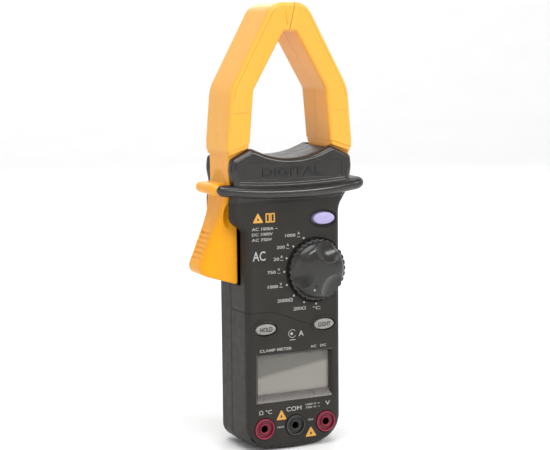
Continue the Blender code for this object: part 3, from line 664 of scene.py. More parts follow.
def grooves():
    """Fine lines above the guard, and the step line that runs from the side across the panel."""
    lines = [wire([(x, FACE_Y, guard(x) + rise) for x in range(-33, 34, 2)], 0.26) for rise in (4.6, 5.9)]
    round_x = BODY_HALF - FRONT_RIM
    bend = [(-round_x - FRONT_RIM * cos(t), FACE_Y + FRONT_RIM * (1 - sin(t)))
            for t in (radians(10 * k) for k in range(10))]
    dropping = [(-15.5, 79.7), (-6.0, 76.7), (4.0, 72.4), (12.5, 70.6)]
    level, low = dropping[0][1], dropping[-1][1]
    left = [(-BODY_HALF, SPLIT_Y - 2.0, level), *[(x, y, level) for x, y in bend]]
    left += [(x, FACE_Y, through(dropping, x)) for x in (-20 + 1.5 * k for k in range(22))]
    right = [(24.6, FACE_Y, low), *[(-x, y, low) for x, y in reversed(bend)], (BODY_HALF, SPLIT_Y - 2.0, low)]
    return lines + [wire(left, 0.3), wire(right, 0.3)]


def arm_channels(y0, y1):
    left = box(-70, -ARM_CHANNEL_X, y0, y1, LEVER_CHANNEL_Z, 200)
    return [left, box(ARM_CHANNEL_X, 70, y0, y1, FIXED_CHANNEL_Z, 200)]


def trigger_slot():
    return prism(rectangle(-40, -26, 94.5, 131, 1.2), TRIGGER_FRONT_Y - 0.6, TRIGGER_REAR_Y + 0.6)


def front_corner(y):
    """Radius of the case's lower corners, which grows towards the panel."""
    share = (SPLIT_Y - y) / (SPLIT_Y - FACE_Y)
    return 8.0 + 9.5 * share * share


def case_ring(inset, y):
    """The case outline at one depth: its rim is rounded less round the shoulder than round the body."""
    corners = case_corners(front_corner(y))
    ring = []
    for body, shoulder in zip(fillet(offset(corners, inset)), fillet(offset(corners, inset * 0.72))):
        share = min(max((body[1] - 154) / 10, 0.0), 1.0)
        ring.append(Vector(body).lerp(Vector(shoulder), share))
    return ring


def screw_heads():
    return [(s.x, s.z) for s in CASE_SCREWS]


def key_wells():
    """Cutters for the two grey keys' openings, and the raised collars round them."""
    wells, collars = [], []
    for name in ("hold_button", "light_button"):
        centre, half = spot(name)
        middle, width, height = (centre.x, centre.z), half.x - 1.1, half.z - 1.1
        wells.append(lipped(lambda more, m=middle, w=width + 0.45, h=height + 0.45:
                            ellipse(m, w + more, h + more), 0.25, face=FACE_Y - 0.45))
        collars.append(stack(middle, [(width + grow, height + grow, FACE_Y + y) for y, grow in (
            (1.0, 1.6), (-0.15, 1.6), (-0.36, 1.48), (-0.45, 1.25))]))
    return wells, collars


def peak_opening():
    """Cutters for the shallow thumb dish round the lavender key, and for the hole it comes out of."""
    peak, size = spot("peak_button")
    dish = skin([[(x, y, z) for x, z in ellipse((peak.x - 1.2 + shift, peak.z - 0.6), width, height)]
                 for y, width, height, shift in (
                     (AHEAD_Y, 9.9, 6.0, 0.0), (FACE_Y, 9.9, 6.0, 0.0), (FACE_Y + 0.25, 9.5, 5.6, 0.2),
                     (FACE_Y + 1.3, 7.9, 4.5, 1.0), (FACE_Y + 1.5, 7.6, 4.3, 1.2))])
    return dish, stack((peak.x, peak.z), [(size.x - 0.7, size.z - 0.7, y) for y in (AHEAD_Y, THROUGH_Y)])


def shoulder_panel():
    dip = [(x, shoulder(x) - 4.6) for x in range(20, -21, -4)]
    recess = [(30.6, 155.2, 1.5), (30.6, 163.9, 1.5), *dip, (-30.6, 163.9, 1.5), (-30.6, 155.2, 1.5)]
    return lipped(lambda more: fillet(offset(recess, -more)), 0.3, FACE_Y + 0.35)


def front_case():
    layers = rims(FACE_Y, SPLIT_Y - GAP / 2, FRONT_RIM, 0.3, 8)
    layers[9:9] = [(0.0, y) for y in (-34.5, -32.5, -30, -27, -24, -21)]
    body = skin([[(x, y, z) for x, z in case_ring(inset, y)] for inset, y in layers])
    cavity = prism(offset(case_corners(9), WALL), FACE_Y + WALL, 0, arc=4)
    inner = FACE_Y + 1.2
    posts = [rod(at, SCREW_POST_R, inner, -12.4) for at in screw_heads()]
    for name in ("board_screw_1", "board_screw_2"):
        middle = spot(name)[0]
        posts.append(rod((middle.x, middle.z), BOARD_POST_R, inner, -32.8))
    posts.append(rod(PIVOT, PIVOT_POST_R, inner, COVER_BACK_Y - 0.1))
    bores = [rod(at, 1.45, -27, 0) for at in screw_heads()] + [rod(PIVOT, PIVOT_R, -37.9, 0)]
    well = lipped(lambda more: circle(WELL_R + more, KNOB, 128), 0.35, WELL_FLOOR_Y)
    half, low, high = WINDOW
    openings = [lipped(lambda more: fillet(rectangle(-half - more, half + more, low - more, high + more,
                                                     0.8 + more)), 0.5)]
    for name in ("left", "common", "right"):
        middle = spot(f"{name}_jack_body")[0]
        openings.append(lipped(lambda more, at=(middle.x, middle.z):
                               circle(JACK_R + GAP + more, at, 64), 0.3))
    openings.append(rod(KNOB, SHAFT_R + 0.4, AHEAD_Y, THROUGH_Y))
    wells, collars = key_wells()
    dish, peak_hole = peak_opening()
    carved = carve(body, cut(cavity), add(*posts), add(front_bead()), add(*collars),
                   cut(*arm_channels(COVER_BACK_Y, 10)), cut(trigger_slot()), cut(*bores),
                   cut(well), cut(dish), cut(*openings, *wells),
                   cut(peak_hole, shoulder_panel()), cut(*grooves()))
    place("case_front", carved, CHARCOAL, "case", "front_case", slot="case_plastic")


def window_sill():
    """The sloping sill along the lower edge of the display opening, and its slim side and top cheeks."""
    half, low, high = WINDOW
    sill = [(-40.3, low - 0.4), (-40.15, low + 0.3), (PANE_Y - 0.35, low + 2.6), (PANE_Y - 0.35, low + 3.9),
            (PANE_Y, low + 4.0), (PANE_Y, low - 0.4)]
    # The sill's paler grey is a painted highlight on its sloping top.
    place("display_sill", skin([[(x, y, z) for y, z in sill] for x in (-half, half)]), SILL_AND_EDGE_HIGHLIGHT, "case",
          slot="case_plastic")
    cheek = [(PANE_Y, 0.0), (-40.2, 0.0), (PANE_Y, 1.0)]
    top = skin([[(x, y, high + 0.3 - d) for y, d in cheek] for x in (-half - 0.2, half + 0.2)])
    sides = [skin([[(side * (half + 0.2 - d * 1.6), y, z) for y, d in cheek] for z in (low, high + 0.2)])
             for side in (-1, 1)]
    place("display_surround", carve(top, *[add(piece) for piece in sides]), CHARCOAL, "case",
          slot="case_plastic")
    # A pale line along the left and top edges of the opening: a painted highlight on its lip.
    left, upper = -half - 0.35, high + 0.35
    edge = [(left, FACE_Y, low - 0.2), (left, FACE_Y, upper), (half, FACE_Y, upper)]
    place("display_edge_highlight", wire(edge, 0.2), SILL_AND_EDGE_HIGHLIGHT, "case", slot="case_plastic")


def sunk(x, z, radius, floor):
    """Cutter for a screw's flat-bottomed hole in the back, with a softened edge."""
    return turned([(0, 4), (radius + 0.5, 4), (radius + 0.5, 0.0), (radius + 0.15, -0.15), (radius, -0.5),
                   (radius, floor), (0, floor)], (x, z))


def rear_case():
    body = prism(case_corners(), SPLIT_Y + GAP / 2, 0, round_low=0.3, round_high=REAR_RIM)
    cavity = prism(offset(case_corners(), WALL), AHEAD_Y, -WALL, arc=4)
    jaw_screw = spot("jaw_screw")[0]
    door_screw = spot("door_screw")[0]
    inner = -1.2
    posts = [rod(at, 4.4, -12.0, inner) for at in screw_heads()]
    posts += [box(side * 14.6 - 0.6, side * 14.6 + 0.6, -13, inner, 23, 76) for side in (-1, 1)]
    posts += [rod((0, door_screw.z), 3.0, -11, inner), rod(PIVOT, PIVOT_POST_R, REAR_COVER_Y + 0.1, inner)]
    side_bead = [(GUARD_HALF, SPLIT_Y + GAP / 2), (GUARD_HALF, -15), (GUARD_HALF, -12), (47.7, -10.2),
                 (46.8, -8.5), (45.8, -7.2), (44.5, -6.5)]
    heads = [sunk(*at, 3.2, -9.5) for at in screw_heads()] + [sunk(jaw_screw.x, jaw_screw.z, 3.2, -3.0)]
    bores = [rod(at, 1.5, -30, 5) for at in screw_heads()]
    bores += [rod(PIVOT, PIVOT_R, -20, -3.0), rod((jaw_screw.x, jaw_screw.z), 1.6, -20, 5)]
    door, size = spot("battery_door")
    reach, low, high = size.x + GAP, door.z - size.z, door.z + size.z
    ledge = prism(rectangle(-reach, reach, low - GAP, high + GAP, 1.6), -1.3, 5)
    hatch = box(-14.0, 14.0, -4, 5, 23.0, high - 2)
    carved = carve(body, cut(cavity), add(*posts), add(bead(side_bead)),
                   cut(*arm_channels(AHEAD_Y, REAR_COVER_Y)), cut(trigger_slot()), cut(*bores),
                   cut(*heads), cut(ledge), cut(hatch, rod((0, door_screw.z), 1.2, -9, 5)))
    place("case_rear", carved, CHARCOAL, "case", "rear_case", slot="case_plastic")


def battery_door():
    door, size = spot("battery_door")
    half, low, high = size.x, door.z - size.z, door.z + size.z
    slab = prism(rectangle(-half, half, low, high, 1.4), -1.0, 0, round_high=0.35, steps=4)
    plug = box(-13.6, 13.6, -2.3, -0.5, 23.4, high - 2.4)
    ribs = [wire([(-9.0, 0.0, z), (9.0, 0.0, z)], 0.4) for z in (high - 12.0 + 1.6 * k for k in range(6))]
    arrow = prism([(-2.2, high - 16.5, 0.3), (2.2, high - 16.5, 0.3), (0, high - 20.0, 0.3)], -0.35, 1)
    border = rectangle(-half + 2.2, half - 2.2, low + 8.6, high - 24.0, 2.0)
    groove = carve(prism(border, -0.25, 1), cut(prism(offset(border, 0.6), -1, 2)))
    bore = rod((0, spot("door_screw")[0].z), 1.5, -5, 5)
    carved = carve(slab, add(plug), cut(bore), cut(*ribs, arrow), cut(groove))
    place("door_cover", carved, CHARCOAL, "door", "battery_door", slot="case_plastic")


def cross_arm(x, z, top, wide, tall, deep):
    """One tapered arm of a cross recess."""
    return skin([[(x + u * wide * s, y, z + v * tall * s) for u, v in ((-1, -1), (1, -1), (1, 1), (-1, 1))]
                 for y, s in ((top + 0.5, 1.1), (top - deep, 0.75))])


def screws():
    """Pan heads with a tapered cross recess, on turned shanks."""
    rows = [(f"case_screw_{k + 1}", "case", 2.8, 1.15, 1.8) for k in range(4)]
    rows += [("jaw_screw", "case", 2.7, 1.1, 1.8), ("door_screw", "door", 1.3, 0.9, 0.6)]
    pitch = 0.55
    for name, body, head_r, shank_r, high in rows:
        middle, half = spot(name)
        x, z = middle.x, middle.z
        tip, top = middle.y - half.y, middle.y + half.y
        seat, start = top - high, tip + shank_r
        profile = [(0, tip), (shank_r * 0.5, tip), (shank_r * 0.95, start)]
        for k in range(int((seat - tip - shank_r - 1.0) / pitch)):
            y = tip + shank_r + pitch * k
            profile += [(shank_r * 0.8, y + 0.1), (shank_r, y + pitch / 2)]
        profile += [(shank_r * 0.85, seat), (head_r, seat), (head_r, seat + high * 0.4)]
        profile += [(head_r * (0.62 + 0.38 * cos(radians(t))), seat + high * (0.4 + 0.6 * sin(radians(t))))
                    for t in (20, 40, 60, 80)]
        profile.append((0, top))
        wide, slim = head_r * 0.55, 0.16 * head_r
        arms = [cross_arm(x, z, top, *size, high * 0.55) for size in ((wide, slim), (slim, wide))]
        carved = carve(turned(profile, (x, z), 40), *[cut(arm) for arm in arms])
        place(f"{name}_finished", carved, STEEL, body, name, slot="zinc_steel")


# Jaws

def jaw_corners(side, grow=0.0):
    """One jaw from the front, past the seam and past the foot of its arm, which are cut afterwards."""
    half = offset([
        (-8, APEX), (3.8, APEX, 1.2), (22.4, 204.5, 6), (24.8, 177.2), (24.8, 150.0), (38.9, 150.0),
        (38.9, 176), (36.4, 205.2, 24), (10.4, TIP, 11), (-8, TIP),
    ], grow)
    return [(side * corner[0], *corner[1:]) for corner in half]


def jaw_block(side, slim=0.0):
    return prism(jaw_corners(side, slim), JAW_FRONT_Y + slim, JAW_REAR_Y - slim, round_low=JAW_RIM,
                 round_high=JAW_RIM)


def behind_covers(corners, rim, steps):
    """The slimmer part of a jaw that lies between the case's two covers."""
    return prism(corners, COVER_BACK_Y + GAP, REAR_COVER_Y - GAP, round_low=rim, round_high=rim, steps=steps)


def seam_side(side, clearance=0.2):
    """Everything on the far side of the slanting line where the two jaws meet."""
    top, low = TIP + 10, APEX - 10
    line = [(side * (3.2 - 0.24 * (TIP - z)) + clearance, z) for z in (low, top)]
    return prism([(side * u, z) for u, z in [line[0], line[1], (-40, top), (-40, low)]], -80, 20)


def seam_window():
    return box(-7, 7, -30.1, -12.9, 241.0, 246.7)


def arm_foot(side, drop=0.0):
    """Everything below the slanting lower edge of the jaw's thick part, or a line that much lower."""
    return prism([(side * x, z) for x, z in ((10, 180.9 - drop), (60, 163.1 - drop), (60, 120), (10, 120))],
                 -80, 20)


def collar(side):
    """The slightly slimmer end of the thick part, which stops just above the covers."""
    above = box(-80, 80, -80, 20, 186, 300)
    return carve(jaw_block(side, COLLAR_SLIM), cut(arm_foot(side, COLLAR_DROP), above))


def trigger():
    """Neck and finger grip of the lever, lofted upwards from its slanting lower edge."""
    outer = [(101.0, -50.6), (102.4, -51.8), (104.2, -52.6), (106.6, -52.6), *TRIGGER_EDGE, (135, -41.6),
             (143, -40.0), (149, -39.6)]
    front = [(129, TRIGGER_FRONT_Y), (134, TRIGGER_FRONT_Y - 0.4), (139, -33.4), (144, -35.0), (149, -35.2)]
    rear = [(129, TRIGGER_REAR_Y), (134, TRIGGER_REAR_Y + 0.2), (139, -9.6), (144, -8.9), (149, -8.85)]
    bend = [(101, 4.5), (110, 6.0), (120, 5.5), (130, 4.0), (138, 2.2), (149, 1.6)]
    foot, top, tilt, rim = 101.2, 149.0, -0.30, 1.6
    heights = [(rim * (1 - sin(radians(t))), rim * (1 - cos(radians(t)))) for t in range(0, 91, 15)]
    heights += [(0.0, rim + (top - foot - rim) * k / 40) for k in range(1, 41)]
    rings = []
    for inset, rise in heights:
        z = foot + rise
        x_out = through(outer, z)
        corners = [(TRIGGER_IN_X, through(front, z), 1.0), (x_out, through(front, z), through(bend, z)),
                   (x_out, through(rear, z), 1.6), (TRIGGER_IN_X, through(rear, z), 1.0)]
        lean = tilt * (1 - rise / (top - foot))
        rings.append([(x, y, z + lean * (x - x_out)) for x, y in fillet(offset(corners, inset), 8)])
    return skin(rings)


def lever_corners():
    """Arm, neck and hub of the moving lever behind the covers."""
    return [(-25.0, 182), (-38.0, 182), (-38.0, 134, 1.0), (-30.0, 131, 1.0), (-24.0, 133.5, 4),
            (-18.0, 141, 5), (-18.0, 151, 5), (-25.0, 159, 4)]


def lever_bead():
    """The moving lever's stretch of the hand guard, round the left side."""
    path = [(-43.2, -9.0), (-45.2, -9.15), (-46.6, -9.8), (-47.5, -11.0), (-48.0, -12.8), (-48.0, -18.0),
            (-48.0, -24.0), (-48.0, -28.5), (-47.6, -31.4), (-46.8, -33.3), (-45.4, -34.6), (-43.6, -35.1)]
    return bead(path, lambda x, y, out: (-36.0, min(max(y, -31.2), -12.8)), bulge=3.0)


def outside(x, z):
    """Whether a point of the jaw's outline lies on its outer edge, not on the window between the jaws."""
    return abs(x) > (30 if z < 205 else 30 - 0.62 * (z - 205))


def marks(side):
    """Engraved lines: across each arm and its foot, round its outer edge, and the alignment mark's stroke."""
    lines = [wire([(side * x, JAW_FRONT_Y, 192.0) for x in (26.2, 34.6)], 0.42),
             wire([(side * x, JAW_FRONT_Y, 184.2 - 0.356 * x) for x in (24.0, 39.5)], 0.55)]
    if side < 0:
        lines.append(wire([(-3.0, JAW_FRONT_Y, 248.0), (-1.9, JAW_FRONT_Y, 240.4)], 0.42))
    edge = [(x, JAW_FRONT_Y + 0.02, z) for x, z in fillet(offset(jaw_corners(side), JAW_RIM + 0.1))
            if z > 184 and abs(x) > 8.5 and outside(x, z)]
    return [*lines, wire(edge, 0.34)]


def halves(name, side, body, solids, cuts):
    """The front and rear half of a jaw moulding, parted at the seam plane with a fine gap."""
    for label, front in (("front", True), ("rear", False)):
        beyond = (SEAM_Y - SEAM_HALF, 20) if front else (-80, SEAM_Y + SEAM_HALF)
        jaw, *rest = solids()
        jaw = carve(jaw, cut(seam_side(side)), cut(arm_foot(side)))
        jaw = carve(jaw, *[add(solid) for solid in rest], cut(box(-80, 80, *beyond, 60, 300)),
                    *[cut(solid) for solid in [pocket(side), seam_window(), *cuts(front)]])
        place(f"{name}_{label}", jaw, YELLOW, body, f"{name}_{label}_shell", slot="jaw_plastic")


def pocket(side):
    """Room for the core and its winding."""
    return carve(prism(jaw_corners(side, 1.8), -33.2, -9.8, arc=4), cut(seam_side(side, 1.9)),
                 cut(arm_foot(side, POCKET_DROP)))


def grip_ribs():
    ribs = [wire([(through(TRIGGER_EDGE, z) - 0.3, y, z) for y in (-25.5, -14.0)], 0.75, 12)
            for z in (110.6 + 2.75 * k for k in range(6))]
    return together(ribs)


def moving_jaw():
    def solids():
        return [jaw_block(-1), collar(-1), behind_covers(lever_corners(), 1.0, 4), lever_bead(), trigger()]

    def cuts(front):
        hollow = [(-33.2, 127), (-40.6, 127), (-48.6, 109, 3), (-47.6, 105.4, 1), (-33.2, 100.6, 1)]
        return [rod(PIVOT, BUSH_R + GAP, AHEAD_Y, 10), *(marks(-1) if front else [rod(PIVOT, 7.9, -15.5, 0)]),
                prism(hollow, TRIGGER_FRONT_Y + WALL, TRIGGER_REAR_Y - WALL),
                ball((-36.6, -37.2, 133.6), (4.6, 7.3, 9.6)), grip_ribs()]

    halves("moving_jaw", -1, "moving_jaw", solids, cuts)


def fixed_jaw():
    def solids():
        root = [(25.0, 182), (38.0, 182), (38.0, 154.5), (32.4, 154.5), (32.4, 146.2, 2), (25.0, 146.2, 2)]
        return [jaw_block(1), collar(1), behind_covers(root, 0.6, 3)]

    def cuts(front):
        screw = spot("jaw_screw")[0]
        return [rod((screw.x, screw.z), 1.4, -32, 5), *(marks(1) if front else [])]

    halves("fixed_jaw", 1, "case", solids, cuts)


# Rotary switch

def knob_height(x, z):
    """The knob's front surface at a point from its axis: a dome with three scooped finger rests."""
    dome = [(radius, KNOB_TOP_Y + drop) for radius, drop in (
        (0, 0), (5, 0.02), (9, 0.25), (12, 0.85), (14.2, 2.0), (15.6, 3.4))] + [(16.6, RIM_TOP_Y - 0.1)]
    level = through(dome, sqrt(x * x + z * z))
    soft = 0.22
    for turn in SCOOPS:
        u, v = polar(SCOOP_AT, turn)
        across = (x - u) ** 2 + (z - v) ** 2
        if across < SCOOP_R ** 2:
            gap = RIM_TOP_Y - SCOOP_R + sqrt(SCOOP_R ** 2 - across) - level
            level += (gap + sqrt(gap * gap + soft * soft)) / 2
    u, v = polar(9.4, POINTER)
    pit = (x - u) ** 2 + (z - v) ** 2
    return min(level + 0.8 * max(0.0, 1 - pit / 0.7), RIM_TOP_Y)


def rotary_knob():
    turns = [2 * pi * k / (12 * TEETH) for k in range(12 * TEETH)]

    def ring(y, radius_at):
        return [(x, y, z) for x, z in (polar(radius_at(t), t) for t in turns)]

    def toothed(y, shrink=0.0):
        return ring(y, lambda t: KNOB_R - 0.7 + 0.7 * abs(cos(TEETH * t / 2)) - shrink)

    rings = []
    for radius in [0.25, *(0.6 + 0.4 * k for k in range(41))]:
        rings.append([(x, knob_height(x, z), z) for x, z in (polar(radius, t) for t in turns)])
    for turn in (radians(t) for t in (0, 30, 60, 90)):
        rings.append(toothed(RIM_TOP_Y + 0.45 * (1 - cos(turn)), 0.45 * (1 - sin(turn))))
    under = WELL_FLOOR_Y - GAP
    rings.append(toothed(under))
    for radius, y in ((SHAFT_R, under), (SHAFT_R, -34.8), (1.3, -34.8), (1.3, -43.0), (0.2, -43.0)):
        rings.append(ring(y, lambda t, r=radius: r))
    knob = skin([[(KNOB[0] + x, y, KNOB[1] + z) for x, y, z in points] for points in rings])
    place("knob_cap", knob, KNOB_BLACK, "knob", "rotary_knob", slot="knob_plastic")
    top = knob_height(*polar(11.5, POINTER))
    dot = turned([(0, top - 0.08), (0.5, top - 0.08), (0.62, top), (0.62, top + 0.4), (0, top + 0.4)],
                 polar(11.5, POINTER, KNOB), 32)
    place("knob_pointer_dot", dot, WHITE_INK, "knob", slot="knob_plastic")


# Keys

def keys():
    rows = [("peak", LAVENDER, "lavender_key", 0.9, 0.1, None),
            ("hold", KEY_GREY, "grey_key", 0.45, 0.5, "HOLD"),
            ("light", KEY_GREY, "grey_key", 0.45, 0.5, "LIGHT")]
    for name, finish, slot, crown, slim, _ in rows:
        middle, half = spot(f"{name}_button")
        at = (middle.x, middle.z)
        width, height = half.x - 1.1 - slim, half.z - 1.1 - slim
        top = middle.y - half.y
        crest = top + crown * 0.55
        layers = [(half.x, half.z, -37.2), (half.x, half.z, -38.0), (width, height, -38.0)]
        for turn in (radians(t) for t in (0, 20, 40, 60, 75)):
            back = 0.7 * (1 - cos(turn))
            layers.append((width - back, height - back, crest + 0.5 * (1 - sin(turn))))
        for share in (1 - k / 9 for k in range(1, 9)):
            layers.append(((width - 0.55) * share, (height - 0.55) * share,
                           crest - (crest - top) * (1 - share ** 2)))
        cap = carve(stack(at, layers), add(rod(at, 1.5, -37.5, -36.9)))
        place(f"{name}_key_cap", cap, finish, f"{name}_key", f"{name}_button", slot=slot)
    for name, *_, text in rows[1:]:
        middle, half = spot(f"{name}_button")
        lettering(f"{name}_key_print", [(text, middle.x, middle.z, 7.8, 2.4)], DARK_INK, f"{name}_key",
                  middle.y - half.y - 0.03, 0.3, "grey_key", 0.03)


# Display

def display():
    half, low, high = WINDOW
    slab = prism(rectangle(-half - 1.4, half + 1.4, low - 1.4, high + 1.4, 1.0), -38.0, -36.8,
                 round_low=0.2, round_high=0.2, steps=3)
    place("display_pane", slab, PANE, "case", "display_window", slot="clear_pane")


# Sockets

def sockets():
    """Shrouded sockets, each one round profile with a paler rim and a paler lip round its hole; the paler
    colour is painted highlight on these rounded edges together with edge wear.
    """
    half_turn = [radians(t) for t in range(180, -1, -20)]
    outer = [(JACK_R - 0.45 + 0.45 * cos(t), -40.85 - 0.45 * sin(t)) for t in half_turn]
    lip = [(2.6 + 0.4 * cos(t), -40.35 - 0.4 * sin(t)) for t in half_turn]
    for name, finish, rim, slot in (("left", RED, RED_RIM_WEAR_AND_HIGHLIGHT, "red_socket"),
                                    ("common", BLACK, BLACK_RIM_WEAR_AND_HIGHLIGHT, "black_socket"),
                                    ("right", RED, RED_RIM_WEAR_AND_HIGHLIGHT, "red_socket")):
        node = f"{name}_jack_body"
        middle, half = spot(node)
        rear = middle.y + half.y
        profile = [*lip, (3.1, -39.9), (4.9, -39.9), *outer, (JACK_R, -37.3), (4.4, -37.3), (4.4, rear),
                   (2.7, rear), (2.7, -23.0), (3.3, -23.0), (3.3, -39.5), (2.2, -39.5)]
        shell = turned(profile, (middle.x, middle.z), 64, ring=True)
        piece = place(f"{name}_socket", shell, finish, "case", node, slot=slot)
        piece.data.materials.append(rim)
        # Faces of the outer rim and of the hole's lip take the paler colour, a painted highlight with edge
        # wear.
        for face in piece.data.polygons:
            centre = face.center / MM
            radius = sqrt((centre.x - middle.x) ** 2 + (centre.z + BASE - middle.z) ** 2)
            if centre.y < -40.3 and (radius > JACK_R - 0.85 or radius < 3.0):
                face.material_index = 1


# Print

def lettering(name, rows, material, body, top, thickness, slot, weight=0.006):
    """Raised print from (text, centre x, centre z, width, cap height) rows, its front at y = top."""
    solids = []
    for text, x, z, width, height in rows:
        data = bpy.data.curves.new("text", "FONT")
        data.body = text
        data.size = 1.0
        data.align_x = "CENTER"
        data.resolution_u = 3
        data.extrude = 0.5
        data.offset = weight
        obj = linked("text", data)
        bpy.context.view_layer.update()
        mesh = bpy.data.meshes.new_from_object(obj.evaluated_get(bpy.context.evaluated_depsgraph_get()))
        bpy.data.objects.remove(obj)
        bm = bmesh.new()
        bm.from_mesh(mesh)
        bmesh.ops.remove_doubles(bm, verts=bm.verts, dist=1e-5)
        low, high = min(v.co.x for v in bm.verts), max(v.co.x for v in bm.verts)
        for v in bm.verts:
            v.co = ((v.co.x - (low + high) / 2) * width / (high - low) + x, top + (0.5 - v.co.z) * thickness,
                    (v.co.y - CAP_SHARE / 2) * height / CAP_SHARE + z)
        bmesh.ops.recalc_face_normals(bm, faces=bm.faces)
        solids.append(bm)
    place(name, together(solids), material, body, slot=slot)


def dial_print():
    """Scale values with a letter over its current mark, the position dots, and the words by the sockets."""
    rows = [("1000", -2.3, 122.6, 6.2, 1.7), ("200", -8.4, 116.2, 5.0, 1.7), ("20", -11.2, 109.6, 3.4, 1.7),
            ("750", -14.2, 102.3, 5.0, 1.7), ("1000", -13.5, 94.0, 6.2, 1.7),
            ("2000Ω", -6.0, 85.6, 9.6, 1.8), ("200Ω", 3.2, 80.2, 7.8, 1.8), ("°C", 14.0, 79.6, 4.8, 1.8)]
    for letter, mark, x, z in (("A", "~", 2.9, 122.6), ("A", "~", -4.0, 116.4), ("A", "~", -7.9, 109.9),
                               ("V", "~", -9.7, 102.6), ("V", "⎓", -8.5, 94.3)):
        rows += [(letter, x, z + 0.9, 1.5, 1.5), (mark, x, z - 1.0, 1.9, 1.6)]
    rows += [("COM", -0.9, 22.1, 9.6, 2.5), ("Ω °C", -18.9, 21.9, 8.0, 2.3), ("V", 20.8, 23.0, 2.9, 2.4),
             ("1000 V ⎓", 11.2, 23.5, 9.4, 1.0), ("750 V ~", 11.2, 21.7, 9.4, 1.0),
             ("CLAMP METER", -12.0, 57.6, 20.2, 1.6), ("AC   DC", 15.0, 57.4, 10.0, 1.4),
             ("A", 4.0, 65.7, 3.2, 3.0), ("MAX", -9.3, 12.2, 4.2, 1.0), ("MAX", 9.8, 14.4, 3.4, 1.0),
             ("AC 1000A ~", -18.1, 127.3, 16.0, 1.7), ("DC 1000V", -19.7, 124.3, 12.8, 1.6),
             ("AC 750V", -20.0, 121.2, 12.3, 1.6), ("AC", -21.8, 112.0, 7.9, 5.2)]
    lettering("panel_print_white", rows, WHITE_INK, "case", PRINT_Y, 0.12, "case_plastic")
    dots = [rod(polar(20.0, radians(112.5 + 22.5 * k), KNOB), 0.55, PRINT_Y, PRINT_BACK_Y, 24)
            for k in range(8)]
    ring = [polar(2.3, radians(degrees), (-1.6, 66.0)) for degrees in range(40, 331, 10)]
    dots.append(wire([(x, FACE_Y, z) for x, z in ring], 0.16, 6))
    dots.append(rod((-2.0, 66.0), 0.8, PRINT_Y, PRINT_BACK_Y, 24))
    dots.append(prism(rectangle(-3.2, 0.4, 62.2, 62.6, 0.1), PRINT_Y, PRINT_BACK_Y))
    place("panel_dots", together(dots), WHITE_INK, "case", slot="case_plastic")


def badge():
    """A generic word raised on the shoulder panel."""
    lettering("shoulder_word", [("DIGITAL", -0.5, 158.8, 37.0, 4.3)], BLACK, "case", FACE_Y, 0.45,
              "case_plastic", 0.02)


def triangle(x, z, half, height, front):
    corners = [(x - half, z, 0.35), (x + half, z, 0.35), (x, z + height, 0.35)]
    return prism(corners, front, PRINT_BACK_Y, arc=5)


def amber_marks():
    """Plain triangles and a plain open book outline."""
    spots = [(-22.3, 130.8, 3.3, 5.7), (-8.9, 16.4, 3.3, 6.0), (9.8, 4.4, 3.6, 5.9)]
    solids = [triangle(*row, PRINT_Y) for row in spots]
    for x0, x1 in ((-17.6, -14.9), (-14.6, -11.9)):
        page = prism(rectangle(x0, x1, 130.7, 136.0, 0.3), PRINT_Y, PRINT_BACK_Y, arc=4)
        middle = prism(rectangle(x0 + 0.7, x1 - 0.7, 131.4, 135.3, 0.2), PRINT_Y - 1, PRINT_BACK_Y + 1, arc=4)
        solids.append(carve(page, cut(middle)))
    place("panel_print_amber", together(solids), AMBER_INK, "case", slot="case_plastic")
    signs = [triangle(x, z + height * 0.22, half * 0.24, height * 0.36, PRINT_Y - 0.03)
             for x, z, half, height in spots]
    place("panel_print_dark", together(signs), DARK_INK, "case", slot="case_plastic")


# Internals

def finish_internals():
    """The pieces inside keep their CAD shape and get their own finish, found by the words in their names."""
    finishes = {
        "core": LAMINATED, "coil": TAPE, "pin": STEEL, "bush": BRASS, "spring": STEEL, "rotor": NYLON,
        "knob_screw": STEEL, "brush": BRASS, "ball": STEEL, "ring": NYLON, "switch": CHIP,
        "lcd_panel": CRYSTAL,
        "backlight": GUIDE, "zebra": RUBBER, "lcd_frame": NYLON, "sleeve": TARNISHED, "main_board": BOARD,
        "adc_chip": CHIP, "buzzer": CHIP, "capacitor": SLEEVE_BLUE, "board_screw": STEEL, "battery": CELL,
        "snap": RUBBER, "lead_red": RED, "lead_black": RUBBER, "coil_lead": RUBBER,
    }
    for name, obj in frame["nodes"].items():
        found = [key for key in finishes if key in name]
        if not found or obj.hide_render:
            continue
        obj.data.materials.clear()
        obj.data.materials.append(finishes[max(found, key=lambda key: (name.endswith(key), len(key)))])


# Stage

def backdrop():
    """A pale round floor whose rim curves up out of sight."""
    flat, curve, wall_top = 1.8, 0.9, 2.2
    profile = [(0.0, 0.0), (0.6, 0.0), (1.3, 0.0), (flat, 0.0)]
    for turn in (radians(10 * k) for k in range(1, 10)):
        profile.append((flat + curve * sin(turn), curve * (1 - cos(turn))))
    profile.append((flat + curve, wall_top))
    floor_z = cad_box[0].z - 0.0003
    count = 96
    bm = bmesh.new()
    rings = []
    for radius, z in profile:
        around = circle(radius, steps=count) if radius else [(0.0, 0.0)]
        rings.append([bm.verts.new((x, y, floor_z + z)) for x, y in around])
    for one, two in zip(rings, rings[1:]):
        for k in range(count):
            if len(one) == 1:
                bm.faces.new((one[0], two[k], two[(k + 1) % count]))
            else:
                bm.faces.new((one[k], two[k], two[(k + 1) % count], one[(k + 1) % count]))
    mesh = mesh_of("backdrop", bm)
    mesh.shade_smooth()
    paper = Finish("backdrop_paper", 0.9)
    paper.set("Base Color", paper.mix(paper.noise(80.0), (0.86, 0.86, 0.86), (0.89, 0.89, 0.89)))
    mesh.materials.append(paper.material)
    stage = linked("backdrop", mesh)


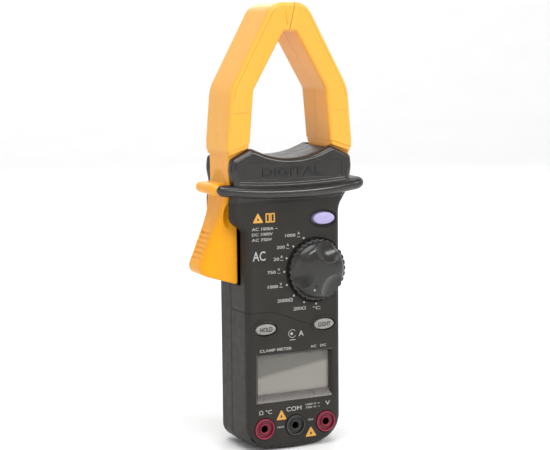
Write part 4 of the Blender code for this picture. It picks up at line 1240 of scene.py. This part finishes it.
def lights():
    """Soft lamps round the meter, one that whitens the far wall, and an even pale sky."""
    world = bpy.data.worlds.new("studio")
    world.use_nodes = True
    sky = world.node_tree.nodes["Background"].inputs
    sky["Color"].default_value = (1.0, 1.0, 1.0, 1.0)
    sky["Strength"].default_value = 0.4
    bpy.context.scene.world = world
    middle = (cad_box[0] + cad_box[1]) / 2
    for name, where, aim, size, power in (
            ("top", (-0.25, -0.35, 1.15), middle, (0.9, 0.9), 10.0),
            ("strip", (0.57, -1.22, 0.87), middle, (1.3, 0.24), 13.0),
            ("left", (-1.2, -0.5, 0.35), middle, (0.8, 0.8), 1.1),
            ("rear", (0.5, 1.2, 0.8), middle, (0.9, 0.9), 5.0),
            ("wall", (0.1, 0.9, 2.3), Vector((1.1, 2.4, 1.0)), (1.2, 1.2), 31.0)):
        data = bpy.data.lights.new(name, "AREA")
        data.shape = "RECTANGLE"
        data.size, data.size_y = size
        data.energy = power
        lamp = linked(name, data)
        lamp.location = where
        lamp.rotation_euler = (aim - Vector(where)).to_track_quat("-Z", "Y").to_euler()


def camera():
    azimuth, elevation, roll = radians(-25.0), radians(7.4), radians(-0.56)
    distance = 0.828
    target = Vector((-0.00248, -0.0205, 0.02623))
    back = Vector((sin(azimuth) * cos(elevation), -cos(azimuth) * cos(elevation), sin(elevation)))
    right = Vector((cos(azimuth), sin(azimuth), 0))
    up = back.cross(right)
    data = bpy.data.cameras.new("camera")
    data.lens = 93.9
    data.sensor_fit = "HORIZONTAL"
    data.sensor_width = 36.0
    data.clip_start, data.clip_end = 0.02, 20.0
    obj = linked("camera", data)
    axes = (cos(roll) * right + sin(roll) * up, -sin(roll) * right + cos(roll) * up, back)
    turn = Matrix(axes).transposed().to_quaternion()
    obj.matrix_world = Matrix.LocRotScale(target + distance * back, turn, None)
    bpy.context.scene.camera = obj


camera()
backdrop()
lights()
bpy.context.scene.view_settings.view_transform = "Standard"
front_case()
window_sill()
rear_case()
battery_door()
screws()
moving_jaw()
fixed_jaw()
rotary_knob()
keys()
display()
sockets()
dial_print()
badge()
amber_marks()
finish_internals()
